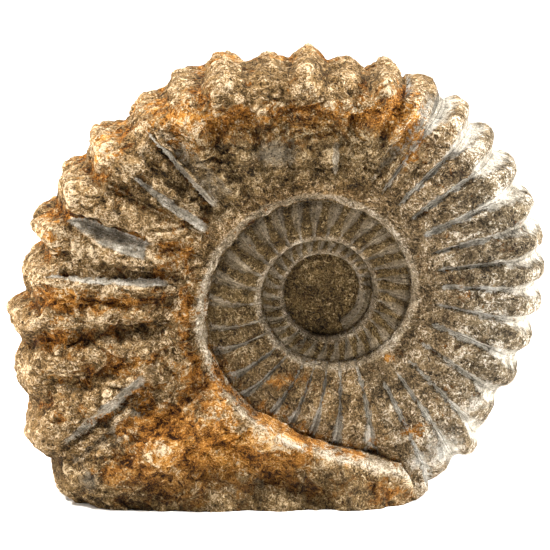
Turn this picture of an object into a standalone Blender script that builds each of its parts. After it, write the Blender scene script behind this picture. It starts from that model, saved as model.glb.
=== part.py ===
"""Ribbed ammonite fossil, 405 mm wide, standing on the flat cut of its base.

It is one natural stone, so it is one solid. The coil's axis is parallel to Y, the side that is seen in the
photograph faces -Y, and the coil grows anticlockwise there. Every point of the skin is worked out from the
coil: a section through the axis at each angle, from the middle of one side over the outer edge to the middle
of the other. Ribs, nodes, a broken step on the shoulder, the foot's ridges, chiselled cuts and lumps then
move the points along the skin's normal.
"""

import bmesh
import bpy
import numpy as np
from mathutils import Vector, noise

MM = 0.001
TURN = 360.0

# Place of the coil's axis, in mm from the middle of the base
AXIS_X = 39.0
AXIS_Y = 5.5
AXIS_Z = 156.0

# The coil, as (turned angle in degrees, mm). Angle 0 points to +X on the last turn, 90 points up.
SEAM_RADIUS = (
    (-720, 23), (-630, 28.5), (-540, 32), (-450, 32.5), (-360, 33), (-315, 36.5), (-270, 40), (-225, 44.5),
    (-180, 48.5), (-135, 49.5), (-90, 50.5), (-45, 55), (0, 61.5), (45, 66.5), (90, 72.5), (135, 79),
    (180, 88.5), (225, 98), (270, 110), (285, 121), (294, 137),
)
TUBE_RADIUS = (
    (-720, 36), (-630, 46), (-540, 57), (-450, 63), (-360, 73), (-270, 87), (-180, 105), (-90, 142),
    (0, 163), (90, 174), (180, 234), (270, 250), (294, 250),
)
OUTLINE_RADIUS = (
    (-66, 180), (-60, 168), (-46, 166), (-37, 156), (-25, 157), (-13, 158), (0, 162), (15, 167), (30, 169),
    (45, 172), (60, 176), (75, 174), (90, 176.5), (105, 181.5), (115, 190), (125, 198), (135, 198),
    (146, 211), (156, 216), (165, 226.5), (175, 227), (184, 239.5), (194, 242), (206, 252.5), (216, 252),
    (225, 254), (250, 259), (275, 246), (284, 218), (289, 196), (294, 180),
)
COIL_END = 294.0
TURNS_INSIDE = 2
CORE_DEPTH = 17.0
CORE_TURNED = -2.5 * TURN

# The whorl's thickness grows by this factor on each turn, up to the broken end of the last one
HALF_THICKNESS_AT_180 = 64.0
GROWTH_PER_TURN = 1.55
MOST_HALF_THICKNESS = 69.0
END_TAPER_FROM = 282.0
END_TAPER_LEFT = 0.6

# Section of a whorl: the wall's curve up to its middle, the fall beyond it, and the groove at its seam
WALL_CURVE = 2.1
WHORL_FALL = 0.12
WHORL_FALL_TO = 1.15
SEAM_DEPTH = 2.0
SEAM_WIDTH = 2.5

# Rounding of the outer edge: its power, its share of the half thickness, and the most thickness it follows
EDGE_SQUARENESS = 2.3
EDGE_SHARE = 0.55
EDGE_MOST_THICKNESS = 60.0

# Grooves between the ribs, at the outer edge, and how far they lean at the inner one
GROOVES_LAST_TURN = (
    -166, -155, -141, -131, -116, -107, -97, -87, -74, -62, -53, -43, -31, -19, -8, 1.7, 10.4, 19.5, 29.5,
    40, 49.3, 59, 69.5, 80, 90, 99, 109, 119.5, 129.5, 140, 151, 161, 170.5, 180, 189, 200, 211.5, 222,
    234, 246, 258, 270, 282, 296,
)
GROOVES_FROM = -720.0
GROOVE_STEP_INSIDE = 12.0
GROOVE_LEAN = ((-720, 6), (60, 6), (135, 5), (150, 0), (180, -1), (210, -8), (294, -8))

# Rib height in mm along the coil: on the side of the whorl and on its outer edge
SIDE_RIB_HEIGHT = (
    (-720, 1.4), (-360, 2.4), (-180, 3.2), (-60, 4), (0, 5), (50, 5), (75, 3), (125, 3.5), (150, 6.5),
    (190, 7), (205, 5.5), (222, 2), (240, 0), (294, 0),
)
EDGE_RIB_HEIGHT = (
    (-720, 1), (-180, 2), (-60, 6), (0, 9), (80, 11), (100, 7.5), (130, 8), (150, 12), (200, 12),
    (212, 10), (228, 6), (240, 3), (294, 3),
)
SIDE_RIBS_START = (0.1, 0.3)
SIDE_TO_EDGE = (0.72, 0.95)
LOWER_ON_EDGE = 0.25

# Rounding of the ribs as a power of a half wave: under 1 they are broad with narrow grooves
FULLNESS = 0.65
FULLNESS_MORE_OUTSIDE = 0.45
FULLNESS_OUTSIDE = (0.6, 0.9)
FULLNESS_MORE_ON_BROKEN = 0.2
FULLNESS_BROKEN = (70, 140)
GROOVE_SOFTNESS = 0.035

# Rim round the hollow middle, just outside the seam, highest on the tongue over the base
RIM_HEIGHT = ((-720, 0.8), (-360, 1.2), (0, 1.8), (170, 2), (210, 4.5), (250, 7), (285, 6), (294, 3))
RIM_PLACE = ((-720, 3), (-360, 4), (0, 5), (180, 7), (250, 11), (294, 12))
RIM_WIDTH_SHARE = 0.7

# Nodes on the shoulder, on every second rib over the top, and the broken step that sags between them
NODE_ANGLES = (74, 95, 114.5, 134.5, 156)
NODE_HEIGHT = 8.0
NODE_ANGLE_WIDTH = 4.6
NODE_PLACE = 0.86
NODE_WIDTH = 0.11
NODE_OFF_EDGE = 0.6
STEP_HEIGHT = 4.0
STEP_PLACE = 0.83
STEP_SAG = 0.15
STEP_HALF_WIDTH = 0.04
STEP_FROM = (60, 76)
STEP_TO = (190, 160)

# Soft ridges and hollows of the front: start and end from the axis in mm, half width, height
FRONT_STROKES = (
    (-88, -84, -122, -107, 13, 10),
    (-122, -107, -172, -142, 13, 7),
    (-88, -84, -50, -107, 12, 9),
    (-50, -107, 16, -138, 12, 8),
    (-137, -72, -116, -92, 14, -7),
    (-84, -128, -62, -142, 15, -5),
    (-42, -132, 4, -150, 10, -6),
    (-131, 131, -82, 69, 8, -4),
    (-222, -24, -134, -20, 8, -6),
    (-190, 106, -150, 88, 8, -3),
    (-205, -60, -160, -48, 8, -5),
)

# Chiselled cuts of the front, two flat facets that meet in a line: start and end of the line from the axis,
# widths of the facets to its left and to its right, and depth, in mm
FRONT_CUTS = (
    (-134, 129, -82, 67, 5, 13, 6.0),
    (-128, 133, -77, 73, 15, 1.5, 2.5),
    (-144, 98, -85, 56, 4, 8, 6.0),
    (-201, 71, -129, 45, 4, 15, 7.0),
    (-212, 22, -115, 18, 12, 5, 6.0),
    (-201, -112, -130, -58, 10, 4, 5.0),
    (-196, -124, -126, -70, 4, 9, 3.5),
    (27, 86, 80, 158, 5, 7, 4.5),
)
CUT_START = (-0.02, 0.12)
CUT_END = (1.02, 0.9)
FRONT_FROM_DEPTH = (5, 25)

# Lumps of the rock, larger on the broken left and top than on the right and the inner turns
LUMP_SIZE = 21.0
LUMP_HEIGHT = 3.2
LUMP_OCTAVES = 3
SMALL_LUMP_SIZE = 9.0
SMALL_LUMP_HEIGHT = 1.5
LUMPS_ON_RIGHT = 0.35
LUMPS_BROKEN = (50, 120)
LUMPS_INSIDE = 0.15
LUMPS_FROM_RADIUS = (20, 60)

# Fineness of the whole skin before and after it is thinned. The cut at the base then takes some of it away.
ANGLE_STEPS = 420
SECTION_STEPS = 150
SIDE_POINTS = 900
EDGE_POINTS = 120
SKIN_TRIANGLES = 10600
SHARP_ANGLE = 60.0
SAW_TOLERANCE = 1e-6

STONE_COLOUR = (0.33, 0.24, 0.15, 1)
STONE_ROUGHNESS = 0.92


def along(table, at):
    """Value at an angle on the smooth curve through a table's (angle, value) points."""
    x, y = np.array(table, float).T
    slope = np.gradient(y, x)
    at = np.clip(at, x[0], x[-1])
    i = np.clip(np.searchsorted(x, at) - 1, 0, len(x) - 2)
    step = x[i + 1] - x[i]
    t = (at - x[i]) / step
    return (
        (2 * t**3 - 3 * t**2 + 1) * y[i]
        + (t**3 - 2 * t**2 + t) * step * slope[i]
        + (3 * t**2 - 2 * t**3) * y[i + 1]
        + (t**3 - t**2) * step * slope[i + 1]
    )


def ramp(low, high, value):
    """0 at low, 1 at high, smooth between; high may be the smaller of the two."""
    t = np.clip((value - low) / (high - low), 0, 1)
    return t * t * (3 - 2 * t)


def bell(away):
    """1 at no distance, and about a third one width away."""
    return np.exp(-(away**2))


def half_thickness(turned):
    """Half the whorl's thickness in mm at a turned angle."""
    grown = HALF_THICKNESS_AT_180 * GROWTH_PER_TURN ** ((turned - 180) / TURN)
    taper = 1 - (1 - END_TAPER_LEFT) * ramp(END_TAPER_FROM, COIL_END, turned)
    return np.minimum(grown, MOST_HALF_THICKNESS) * taper


def side_depth(angle, radius, turns_in=0):
    """Depth of the side from the middle plane, with the turned angle of the whorl on top.

    Each whorl starts at its seam on the one beneath it, rises steeply and is nearly flat further out.
    """
    if turns_in > TURNS_INSIDE:
        shape = np.broadcast(angle, radius).shape
        return np.full(shape, CORE_DEPTH), np.full(shape, -(TURNS_INSIDE + 1) * TURN)
    turned = angle - TURN * turns_in
    seam = along(SEAM_RADIUS, turned)
    beneath, on_top = side_depth(angle, radius, turns_in + 1)
    start, _ = side_depth(angle, seam, turns_in + 1)
    across = (radius - seam) / (along(TUBE_RADIUS, turned) - seam)
    rise = 1 - (1 - 2 * np.clip(across, 0, 0.5)) ** WALL_CURVE
    fall = 1 - WHORL_FALL * (2 * np.clip(across, 0.5, WHORL_FALL_TO) - 1) ** 2
    whorl = (start + (half_thickness(turned) - start) * rise) * fall
    groove = SEAM_DEPTH * bell((radius - seam) / SEAM_WIDTH)
    outside = radius > seam
    return np.where(outside, whorl, beneath) - groove, np.where(outside, turned, on_top)


def sections():
    """Half sections at every angle: (angles, radii, depths), one row for an angle, evenly spaced points."""
    angles = COIL_END - TURN + TURN * np.arange(ANGLE_STEPS) / ANGLE_STEPS
    rounding = EDGE_SHARE * np.minimum(half_thickness(angles), EDGE_MOST_THICKNESS)[:, None]
    flat = along(OUTLINE_RADIUS, angles)[:, None] - rounding
    radius = flat * np.linspace(0, 1, SIDE_POINTS)
    depth, _ = side_depth(angles[:, None], radius)
    bend = np.linspace(0, np.pi / 2, EDGE_POINTS)[1:]
    power = 2 / EDGE_SQUARENESS
    radius = np.hstack([radius, flat + rounding * np.sin(bend) ** power])
    depth = np.hstack([depth, depth[:, -1:] * np.cos(bend).clip(0) ** power])
    run = np.cumsum(np.hypot(np.diff(radius, axis=1), np.diff(depth, axis=1)), axis=1)
    run = np.hstack([np.zeros((ANGLE_STEPS, 1)), run])
    even = np.linspace(0, 1, SECTION_STEPS // 2 + 1)
    rows = [
        (np.interp(even * r[-1], r, a), np.interp(even * r[-1], r, d)) for r, a, d in zip(run, radius, depth)
    ]
    return angles, np.array([a for a, _ in rows]), np.array([d for _, d in rows])


def groove_angles():
    """Angles of all the grooves: evenly spaced on the inner turns, then the last turn's own."""
    inside = np.arange(GROOVES_FROM, GROOVES_LAST_TURN[0] - GROOVE_STEP_INSIDE / 2, GROOVE_STEP_INSIDE)
    return np.concatenate([inside, GROOVES_LAST_TURN])


def rib_rise(turned, leaned, across, on_edge):
    """Rise of the ribs in mm: across runs from 0 at the seam to 1 at the shoulder, on_edge from there to 1."""
    grooves = groove_angles()
    share = np.interp(leaned, grooves, np.arange(len(grooves))) % 1.0
    fullness = (
        FULLNESS
        + FULLNESS_MORE_OUTSIDE * ramp(*FULLNESS_OUTSIDE, across)
        + FULLNESS_MORE_ON_BROKEN * ramp(*FULLNESS_BROKEN, turned)
    )
    wave = (np.sin(np.pi * share) ** 2 + GROOVE_SOFTNESS) ** (fullness / 2)
    side = along(SIDE_RIB_HEIGHT, turned) * ramp(*SIDE_RIBS_START, across)
    edge = along(EDGE_RIB_HEIGHT, turned)
    height = side + (edge - side) * ramp(*SIDE_TO_EDGE, across)
    return height * (wave - 1) * (1 - LOWER_ON_EDGE * on_edge)


def shoulder_rise(turned, leaned, across, on_edge):
    """Rise in mm of the nodes on the shoulder and of the broken step that sags between them."""
    rise = np.zeros(turned.shape)
    for node in NODE_ANGLES:
        away = np.hypot((leaned - node) / NODE_ANGLE_WIDTH, (across - NODE_PLACE) / NODE_WIDTH)
        rise = rise + NODE_HEIGHT * bell(away) * (on_edge < NODE_OFF_EDGE)
    share = np.interp(leaned, NODE_ANGLES, np.arange(len(NODE_ANGLES))) % 1
    place = STEP_PLACE - STEP_SAG * 4 * share * (1 - share)
    step = ramp(place - STEP_HALF_WIDTH, place + STEP_HALF_WIDTH, across) * ramp(1.0, 0.9, across)
    over_the_top = ramp(*STEP_FROM, turned) * ramp(*STEP_TO, turned)
    return rise + STEP_HEIGHT * step * over_the_top * (turned > COIL_END - TURN)


def front_rise(x, z):
    """Rise of the front's ridges, hollows and cuts in mm, at points measured from the axis."""
    rise = np.zeros(x.shape)
    for x0, z0, x1, z1, half_width, height in FRONT_STROKES:
        span = np.array([x1 - x0, z1 - z0])
        t = (((x - x0) * span[0] + (z - z0) * span[1]) / (span @ span)).clip(0, 1)
        away = np.hypot(x - x0 - t * span[0], z - z0 - t * span[1])
        rise = rise + height * bell(away / half_width)
    for x0, z0, x1, z1, left, right, depth in FRONT_CUTS:
        length = np.hypot(x1 - x0, z1 - z0)
        off = ((x1 - x0) * (z - z0) - (z1 - z0) * (x - x0)) / length
        t = ((x - x0) * (x1 - x0) + (z - z0) * (z1 - z0)) / length**2
        facets = (1 - np.where(off > 0, off / left, -off / right)).clip(0, 1)
        rise = rise - depth * facets * ramp(*CUT_START, t) * ramp(*CUT_END, t)
    return rise


def lump_rise(points):
    """Rise of the rock's own lumps in mm, before it is lessened on the smoother parts."""
    rise = np.empty(len(points))
    for i, point in enumerate(points):
        coarse = noise.fractal(Vector(point) / LUMP_SIZE, 1.0, 2.0, LUMP_OCTAVES)
        rise[i] = LUMP_HEIGHT * coarse + SMALL_LUMP_HEIGHT * noise.noise(Vector(point) / SMALL_LUMP_SIZE)
    return rise


def normals_of(grid):
    """Outward unit normals of a grid of points that closes round its first direction."""
    round_the_axis = np.roll(grid, -1, axis=0) - np.roll(grid, 1, axis=0)
    over_the_edge = np.gradient(grid, axis=1)
    normal = np.cross(over_the_edge, round_the_axis)
    return normal / np.linalg.norm(normal, axis=2, keepdims=True).clip(1e-9)


def skin_points():
    """Grid of points of the whole skin in mm, from the front's middle (first) to the back's (last)."""
    angles, radius, depth = sections()
    half = SECTION_STEPS // 2
    radius = np.hstack([radius, radius[:, :half][:, ::-1]])
    depth = np.hstack([depth, -depth[:, :half][:, ::-1]])
    around = np.radians(angles)[:, None]
    grid = np.stack([radius * np.cos(around), -depth, radius * np.sin(around)], axis=2)
    x, z = grid[:, :, 0], grid[:, :, 2]

    _, turned = side_depth(angles[:, None], radius)
    outer_whorl = turned > COIL_END - TURN
    seam = along(SEAM_RADIUS, turned)
    reach = np.where(outer_whorl, along(OUTLINE_RADIUS, angles)[:, None], along(SEAM_RADIUS, turned + TURN))
    across = ((radius - seam) / (reach - seam).clip(1)).clip(0, 1)
    leaned = turned - along(GROOVE_LEAN, turned) * (1 - across)
    on_edge = ramp(0, 1, 1 - np.abs(depth) / (0.6 * half_thickness(angles))[:, None]) * (across > 0.8)

    rim_place = along(RIM_PLACE, turned)
    rim = along(RIM_HEIGHT, turned) * bell((radius - seam - rim_place) / (RIM_WIDTH_SHARE * rim_place))
    coiled = rim + rib_rise(turned, leaned, across, on_edge) + shoulder_rise(turned, leaned, across, on_edge)
    broken = LUMPS_ON_RIGHT + (1 - LUMPS_ON_RIGHT) * ramp(*LUMPS_BROKEN, turned)
    lumpy = np.where(outer_whorl, broken, LUMPS_INSIDE) * ramp(*LUMPS_FROM_RADIUS, radius)
    rise = (
        np.where(turned < CORE_TURNED, 0, coiled)
        + front_rise(x, z) * ramp(*FRONT_FROM_DEPTH, depth)
        + lump_rise(grid.reshape(-1, 3)).reshape(x.shape) * lumpy
    )
    return grid + normals_of(grid) * rise[:, :, None]


def closed_mesh(grid):
    """bmesh of the grid, closed with one point at the middle of each side."""
    steps, rows = grid.shape[:2]
    mesh = bmesh.new()
    place = np.array([AXIS_X, AXIS_Y, AXIS_Z])
    front, back = ((grid[:, row].mean(axis=0) + place) * MM for row in (0, -1))
    poles = [mesh.verts.new(front), mesh.verts.new(back)]
    rings = [[mesh.verts.new((point + place) * MM) for point in grid[:, row]] for row in range(1, rows - 1)]
    for inner, outer in zip(rings, rings[1:]):
        for i in range(steps):
            j = (i + 1) % steps
            mesh.faces.new((inner[i], inner[j], outer[j], outer[i]))
    for i in range(steps):
        j = (i + 1) % steps
        mesh.faces.new((poles[0], rings[0][j], rings[0][i]))
        mesh.faces.new((poles[1], rings[-1][i], rings[-1][j]))
    bmesh.ops.recalc_face_normals(mesh, faces=mesh.faces)
    return mesh


def thinned(mesh):
    """bmesh of the closed skin with fewer triangles, the smaller ones where it bends most."""
    bmesh.ops.triangulate(mesh, faces=mesh.faces)
    data = bpy.data.meshes.new("skin")
    mesh.to_mesh(data)
    mesh.free()
    skin = bpy.data.objects.new("skin", data)
    bpy.context.scene.collection.objects.link(skin)
    skin.modifiers.new("thin", "DECIMATE").ratio = SKIN_TRIANGLES / len(data.polygons)
    result = bmesh.new()
    result.from_object(skin, bpy.context.evaluated_depsgraph_get())
    bpy.data.objects.remove(skin)
    return result


def cut_base(mesh):
    """Saws the stone off flat at Z 0 and closes the cut with one face."""
    everything = list(mesh.verts) + list(mesh.edges) + list(mesh.faces)
    cut = bmesh.ops.bisect_plane(
        mesh, geom=everything, dist=SAW_TOLERANCE, plane_co=(0, 0, 0), plane_no=(0, 0, -1), clear_outer=True
    )
    edges = [item for item in cut["geom_cut"] if isinstance(item, bmesh.types.BMEdge)]
    bmesh.ops.holes_fill(mesh, edges=edges, sides=0)


def stone_material():
    """Brown sandy limestone."""
    material = bpy.data.materials.new("sandy_limestone")
    material.use_nodes = True
    shader = material.node_tree.nodes["Principled BSDF"]
    shader.inputs["Base Color"].default_value = STONE_COLOUR
    shader.inputs["Roughness"].default_value = STONE_ROUGHNESS
    return material


def build_ammonite():
    """The whole stone as one object."""
    mesh = thinned(closed_mesh(skin_points()))
    cut_base(mesh)
    data = bpy.data.meshes.new("ammonite")
    mesh.to_mesh(data)
    mesh.free()
    data.shade_smooth()
    data.set_sharp_from_angle(angle=np.radians(SHARP_ANGLE))
    data.materials.append(stone_material())
    stone = bpy.data.objects.new("ammonite", data)
    bpy.context.scene.collection.objects.link(stone)
    return stone


def main():
    """Clears the scene and builds the stone."""
    for old in list(bpy.data.objects):
        bpy.data.objects.remove(old)
    build_ammonite()


main()
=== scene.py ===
"""The looks of a large ribbed ammonite fossil that stands on the sawn foot of its last whorl.

The stone's skin is one grid of points round the coil: a section through the axis at each angle, from the
middle of the front over the outer edge to the middle of the back. A Geometry Nodes tree raises the ribs
along the coil and weathers the rock. The grid is then thinned, cut off flat at the foot, and dressed.
"""

import logging
import math
from dataclasses import dataclass, field
from enum import Enum
from typing import ClassVar

import bmesh
import bpy
import numpy as np
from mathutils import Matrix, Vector, noise


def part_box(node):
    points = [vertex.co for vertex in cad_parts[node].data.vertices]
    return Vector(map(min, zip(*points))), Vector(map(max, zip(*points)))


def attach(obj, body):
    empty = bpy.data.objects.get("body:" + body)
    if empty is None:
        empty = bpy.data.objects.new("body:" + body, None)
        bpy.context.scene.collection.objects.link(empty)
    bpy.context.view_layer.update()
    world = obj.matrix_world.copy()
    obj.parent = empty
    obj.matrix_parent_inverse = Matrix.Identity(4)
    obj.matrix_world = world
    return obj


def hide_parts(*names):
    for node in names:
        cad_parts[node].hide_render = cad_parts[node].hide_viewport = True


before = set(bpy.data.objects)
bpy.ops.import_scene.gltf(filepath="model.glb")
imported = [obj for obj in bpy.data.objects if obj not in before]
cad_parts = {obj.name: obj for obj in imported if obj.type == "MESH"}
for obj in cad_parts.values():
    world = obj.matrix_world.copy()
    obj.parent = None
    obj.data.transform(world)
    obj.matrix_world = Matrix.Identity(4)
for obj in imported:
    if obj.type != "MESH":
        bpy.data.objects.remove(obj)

MM = 0.001
TURN = 360.0
NODE = "ammonite"

Span = tuple[float, float]
Curve = tuple[Span, ...]
Colour = tuple[float, float, float]
Place = tuple[float, float, float]
Array = np.ndarray
Socket = bpy.types.NodeSocket
Outputs = bpy.types.NodeOutputs

log = logging.getLogger("ammonite")


def along(curve: Curve, at: Array) -> Array:
    """Reads a smooth curve through a few points.

    Args:
        curve: (angle, value) points in rising order of angle.
        at: angles to read the curve at; beyond its ends the end values hold.

    Returns:
        The curve's value at each angle.
    """
    x, y = np.array(curve, float).T
    slope = np.gradient(y, x)
    at = np.clip(at, x[0], x[-1])
    i = np.clip(np.searchsorted(x, at) - 1, 0, len(x) - 2)
    step = x[i + 1] - x[i]
    t = (at - x[i]) / step
    return (
        (2 * t**3 - 3 * t**2 + 1) * y[i]
        + (t**3 - 2 * t**2 + t) * step * slope[i]
        + (3 * t**2 - 2 * t**3) * y[i + 1]
        + (t**3 - t**2) * step * slope[i + 1]
    )


def ramp(span: Span, value: Array) -> Array:
    """Rises smoothly from 0 at the span's first value to 1 at its second, which may be the smaller one."""
    t = np.clip((value - span[0]) / (span[1] - span[0]), 0, 1)
    return t * t * (3 - 2 * t)


def bell(away: Array) -> Array:
    """A bell curve, 1 at no distance and about a third one width away."""
    return np.exp(-(away**2))


class Mask(Enum):
    """Names of the point attributes that the stone's finish reads."""

    RIB_COUNT = "rib_count"
    WEDGE = "wedge"
    CHISEL = "chisel"
    STREAK = "streak"
    FIBRE = "fibre"
    RIM = "rim"
    RUST = "rust"
    PATINA_AND_SHADE = "patina_and_shade"
    ASH_AND_HIGHLIGHT = "ash"
    GRAIN = "grain"
    RELIEF = "relief"
    CREVICE = "crevice"


@dataclass(frozen=True)
class Points:
    """The points of the skin's grid, each field with one row a section, in mm and degrees.

    Turned is the angle counted on along the coil, and across runs from 0 at the whorl's seam to 1 at its
    outer edge. On edge is 1 in the middle of the outer edge and 0 on the sides, and front is 1 on the front.
    """

    x: Array
    z: Array
    radius: Array
    depth: Array
    turned: Array
    across: Array
    off_seam: Array
    on_edge: Array
    front: Array
    last: Array
    core: Array


@dataclass(frozen=True)
class Area:
    """A soft-edged area of the coil. Each edge is a span, from where the cover is 0 to where it is full."""

    strength: float = 1.0
    starts: Span | None = None
    ends: Span | None = None
    inner: Span | None = None
    outer: Span | None = None
    back: Span | None = None

    def cover(self, at: Points) -> Array:
        """The area's strength at each point, between its edges along the coil, across it and in depth.

        Args:
            at: the points of the grid.

        Returns:
            0 outside the area and its strength inside.
        """
        cover = np.full(at.turned.shape, self.strength)
        edges = (
            (self.starts, at.turned), (self.ends, at.turned),
            (self.inner, at.across), (self.outer, at.across), (self.back, at.depth),
        )
        for span, value in edges:
            if span:
                cover = cover * ramp(span, value)
        return cover


def summed(base: float, areas: tuple[Area, ...], at: Points) -> Array:
    """Adds the cover of some areas to a base value."""
    return base + sum(area.cover(at) for area in areas)


@dataclass(frozen=True)
class Coil:
    """The coil without its ribs, in mm and degrees from the coil's axis, which is parallel to Y.

    A turned angle counts on along the whorls: -786 to -66 are the inner turns and -66 to 294 the last one.
    Angle 0 points to +X and 90 points up.
    """

    axis: Place = (39.0, 5.5, 156.0)
    seam: Curve = (
        (-720, 23), (-630, 28.5), (-540, 32), (-450, 32.5), (-360, 33), (-315, 36.5), (-270, 40),
        (-225, 44.5), (-180, 48.5), (-135, 49.5), (-90, 50.5), (-45, 55), (0, 61.5), (45, 66.5), (90, 72.5),
        (135, 79), (180, 88.5), (225, 98), (270, 110), (285, 121), (294, 137),
    )
    tube: Curve = (
        (-720, 36), (-630, 46), (-540, 57), (-450, 63), (-360, 73), (-270, 87), (-180, 105), (-90, 142),
        (0, 163), (90, 174), (180, 234), (270, 250), (294, 250),
    )
    outline: Curve = (
        (-66, 180), (-60, 168), (-46, 166), (-37, 156), (-25, 157), (-13, 158), (0, 162), (15, 167),
        (30, 169), (45, 172), (60, 176), (75, 174), (90, 176.5), (105, 181.5), (115, 190), (125, 198),
        (135, 198), (146, 211), (156, 216), (165, 226.5), (175, 227), (184, 239.5), (194, 242), (206, 252.5),
        (216, 252), (225, 254), (250, 259), (275, 246), (284, 218), (289, 196), (294, 180),
    )
    end: float = 294.0
    turns_beneath: int = 2
    half_thickness_at_180: float = 64.0
    growth_per_turn: float = 1.55
    most_half_thickness: float = 69.0
    end_taper: Span = (282.0, 294.0)
    end_taper_left: float = 0.6
    core_depth: float = 17.0
    wall_curve: float = 2.1
    whorl_fall: float = 0.12
    fall_until: float = 1.15
    edge_squareness: float = 2.3
    edge_share: float = 0.55
    most_edge_thickness: float = 60.0
    seam_depth: float = 2.0
    seam_width: float = 2.5
    side_samples: int = 900
    edge_samples: int = 120

    def half_thickness(self, turned: Array) -> Array:
        """Works out half the whorl's thickness at each turned angle.

        Args:
            turned: angle counted on along the coil.

        Returns:
            The half thickness in mm.
        """
        grown = self.half_thickness_at_180 * self.growth_per_turn ** ((turned - 180) / TURN)
        taper = 1 - (1 - self.end_taper_left) * ramp(self.end_taper, turned)
        return np.minimum(grown, self.most_half_thickness) * taper

    def side(self, angle: Array, radius: Array, turns_in: int = 0) -> tuple[Array, Array]:
        """Works out the side of the whole coil, each whorl starting at its seam on the one beneath it.

        Args:
            angle: angle on the last turn.
            radius: distance from the axis.
            turns_in: how many turns further in the outermost whorl counted here is.

        Returns:
            Depth of the side from the middle plane, and the turned angle of the whorl that shows there.
        """
        if turns_in > self.turns_beneath:
            shape = np.broadcast(angle, radius).shape
            return np.full(shape, self.core_depth), np.full(shape, -TURN * turns_in)
        turned = angle - TURN * turns_in
        seam = along(self.seam, turned)
        beneath, shows = self.side(angle, radius, turns_in + 1)
        start, _ = self.side(angle, seam, turns_in + 1)
        across = (radius - seam) / (along(self.tube, turned) - seam)
        rise = 1 - (1 - 2 * np.clip(across, 0, 0.5)) ** self.wall_curve
        fall = 1 - self.whorl_fall * (2 * np.clip(across, 0.5, self.fall_until) - 1) ** 2
        whorl = (start + (self.half_thickness(turned) - start) * rise) * fall
        groove = self.seam_depth * bell((radius - seam) / self.seam_width)
        outside = radius > seam
        return np.where(outside, whorl, beneath) - groove, np.where(outside, turned, shows)

    def sections(self, angle_steps: int, section_steps: int) -> tuple[Array, Array, Array]:
        """Cuts the coil through its axis at even angles.

        Args:
            angle_steps: number of sections round the axis.
            section_steps: number of steps from the middle of one side to the middle of the other.

        Returns:
            The angles, then the radius and the signed depth of each section's points, one row a section.
        """
        angles = self.end - TURN + TURN * np.arange(angle_steps) / angle_steps
        thickness = np.minimum(self.half_thickness(angles), self.most_edge_thickness)
        rounding = self.edge_share * thickness[:, None]
        flat = along(self.outline, angles)[:, None] - rounding
        radius = flat * np.linspace(0, 1, self.side_samples)
        depth, _ = self.side(angles[:, None], radius)
        bend = np.linspace(0, np.pi / 2, self.edge_samples)[1:]
        power = 2 / self.edge_squareness
        radius = np.hstack([radius, flat + rounding * np.sin(bend) ** power])
        depth = np.hstack([depth, depth[:, -1:] * np.cos(bend).clip(0) ** power])
        run = np.cumsum(np.hypot(np.diff(radius, axis=1), np.diff(depth, axis=1)), axis=1)
        run = np.hstack([np.zeros((angle_steps, 1)), run])
        half = section_steps // 2
        even = np.linspace(0, 1, half + 1)
        rows = []
        for length, out, deep in zip(run, radius, depth):
            steps = even * length[-1]
            rows.append((np.interp(steps, length, out), np.interp(steps, length, deep)))
        radius, depth = np.array(rows).transpose(1, 0, 2)
        radius = np.hstack([radius, radius[:, :half][:, ::-1]])
        depth = np.hstack([depth, -depth[:, :half][:, ::-1]])
        return angles, radius, depth


@dataclass(frozen=True)
class Groove:
    """The smooth groove between two ribs: its half width as a share of a rib's step, which grows outwards."""

    least: float
    gain: float
    widens: Span

    def half_width(self, across: Array) -> Array:
        """The groove's half width at each share of the way across the whorl."""
        return self.least + self.gain * ramp(self.widens, across)


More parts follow.
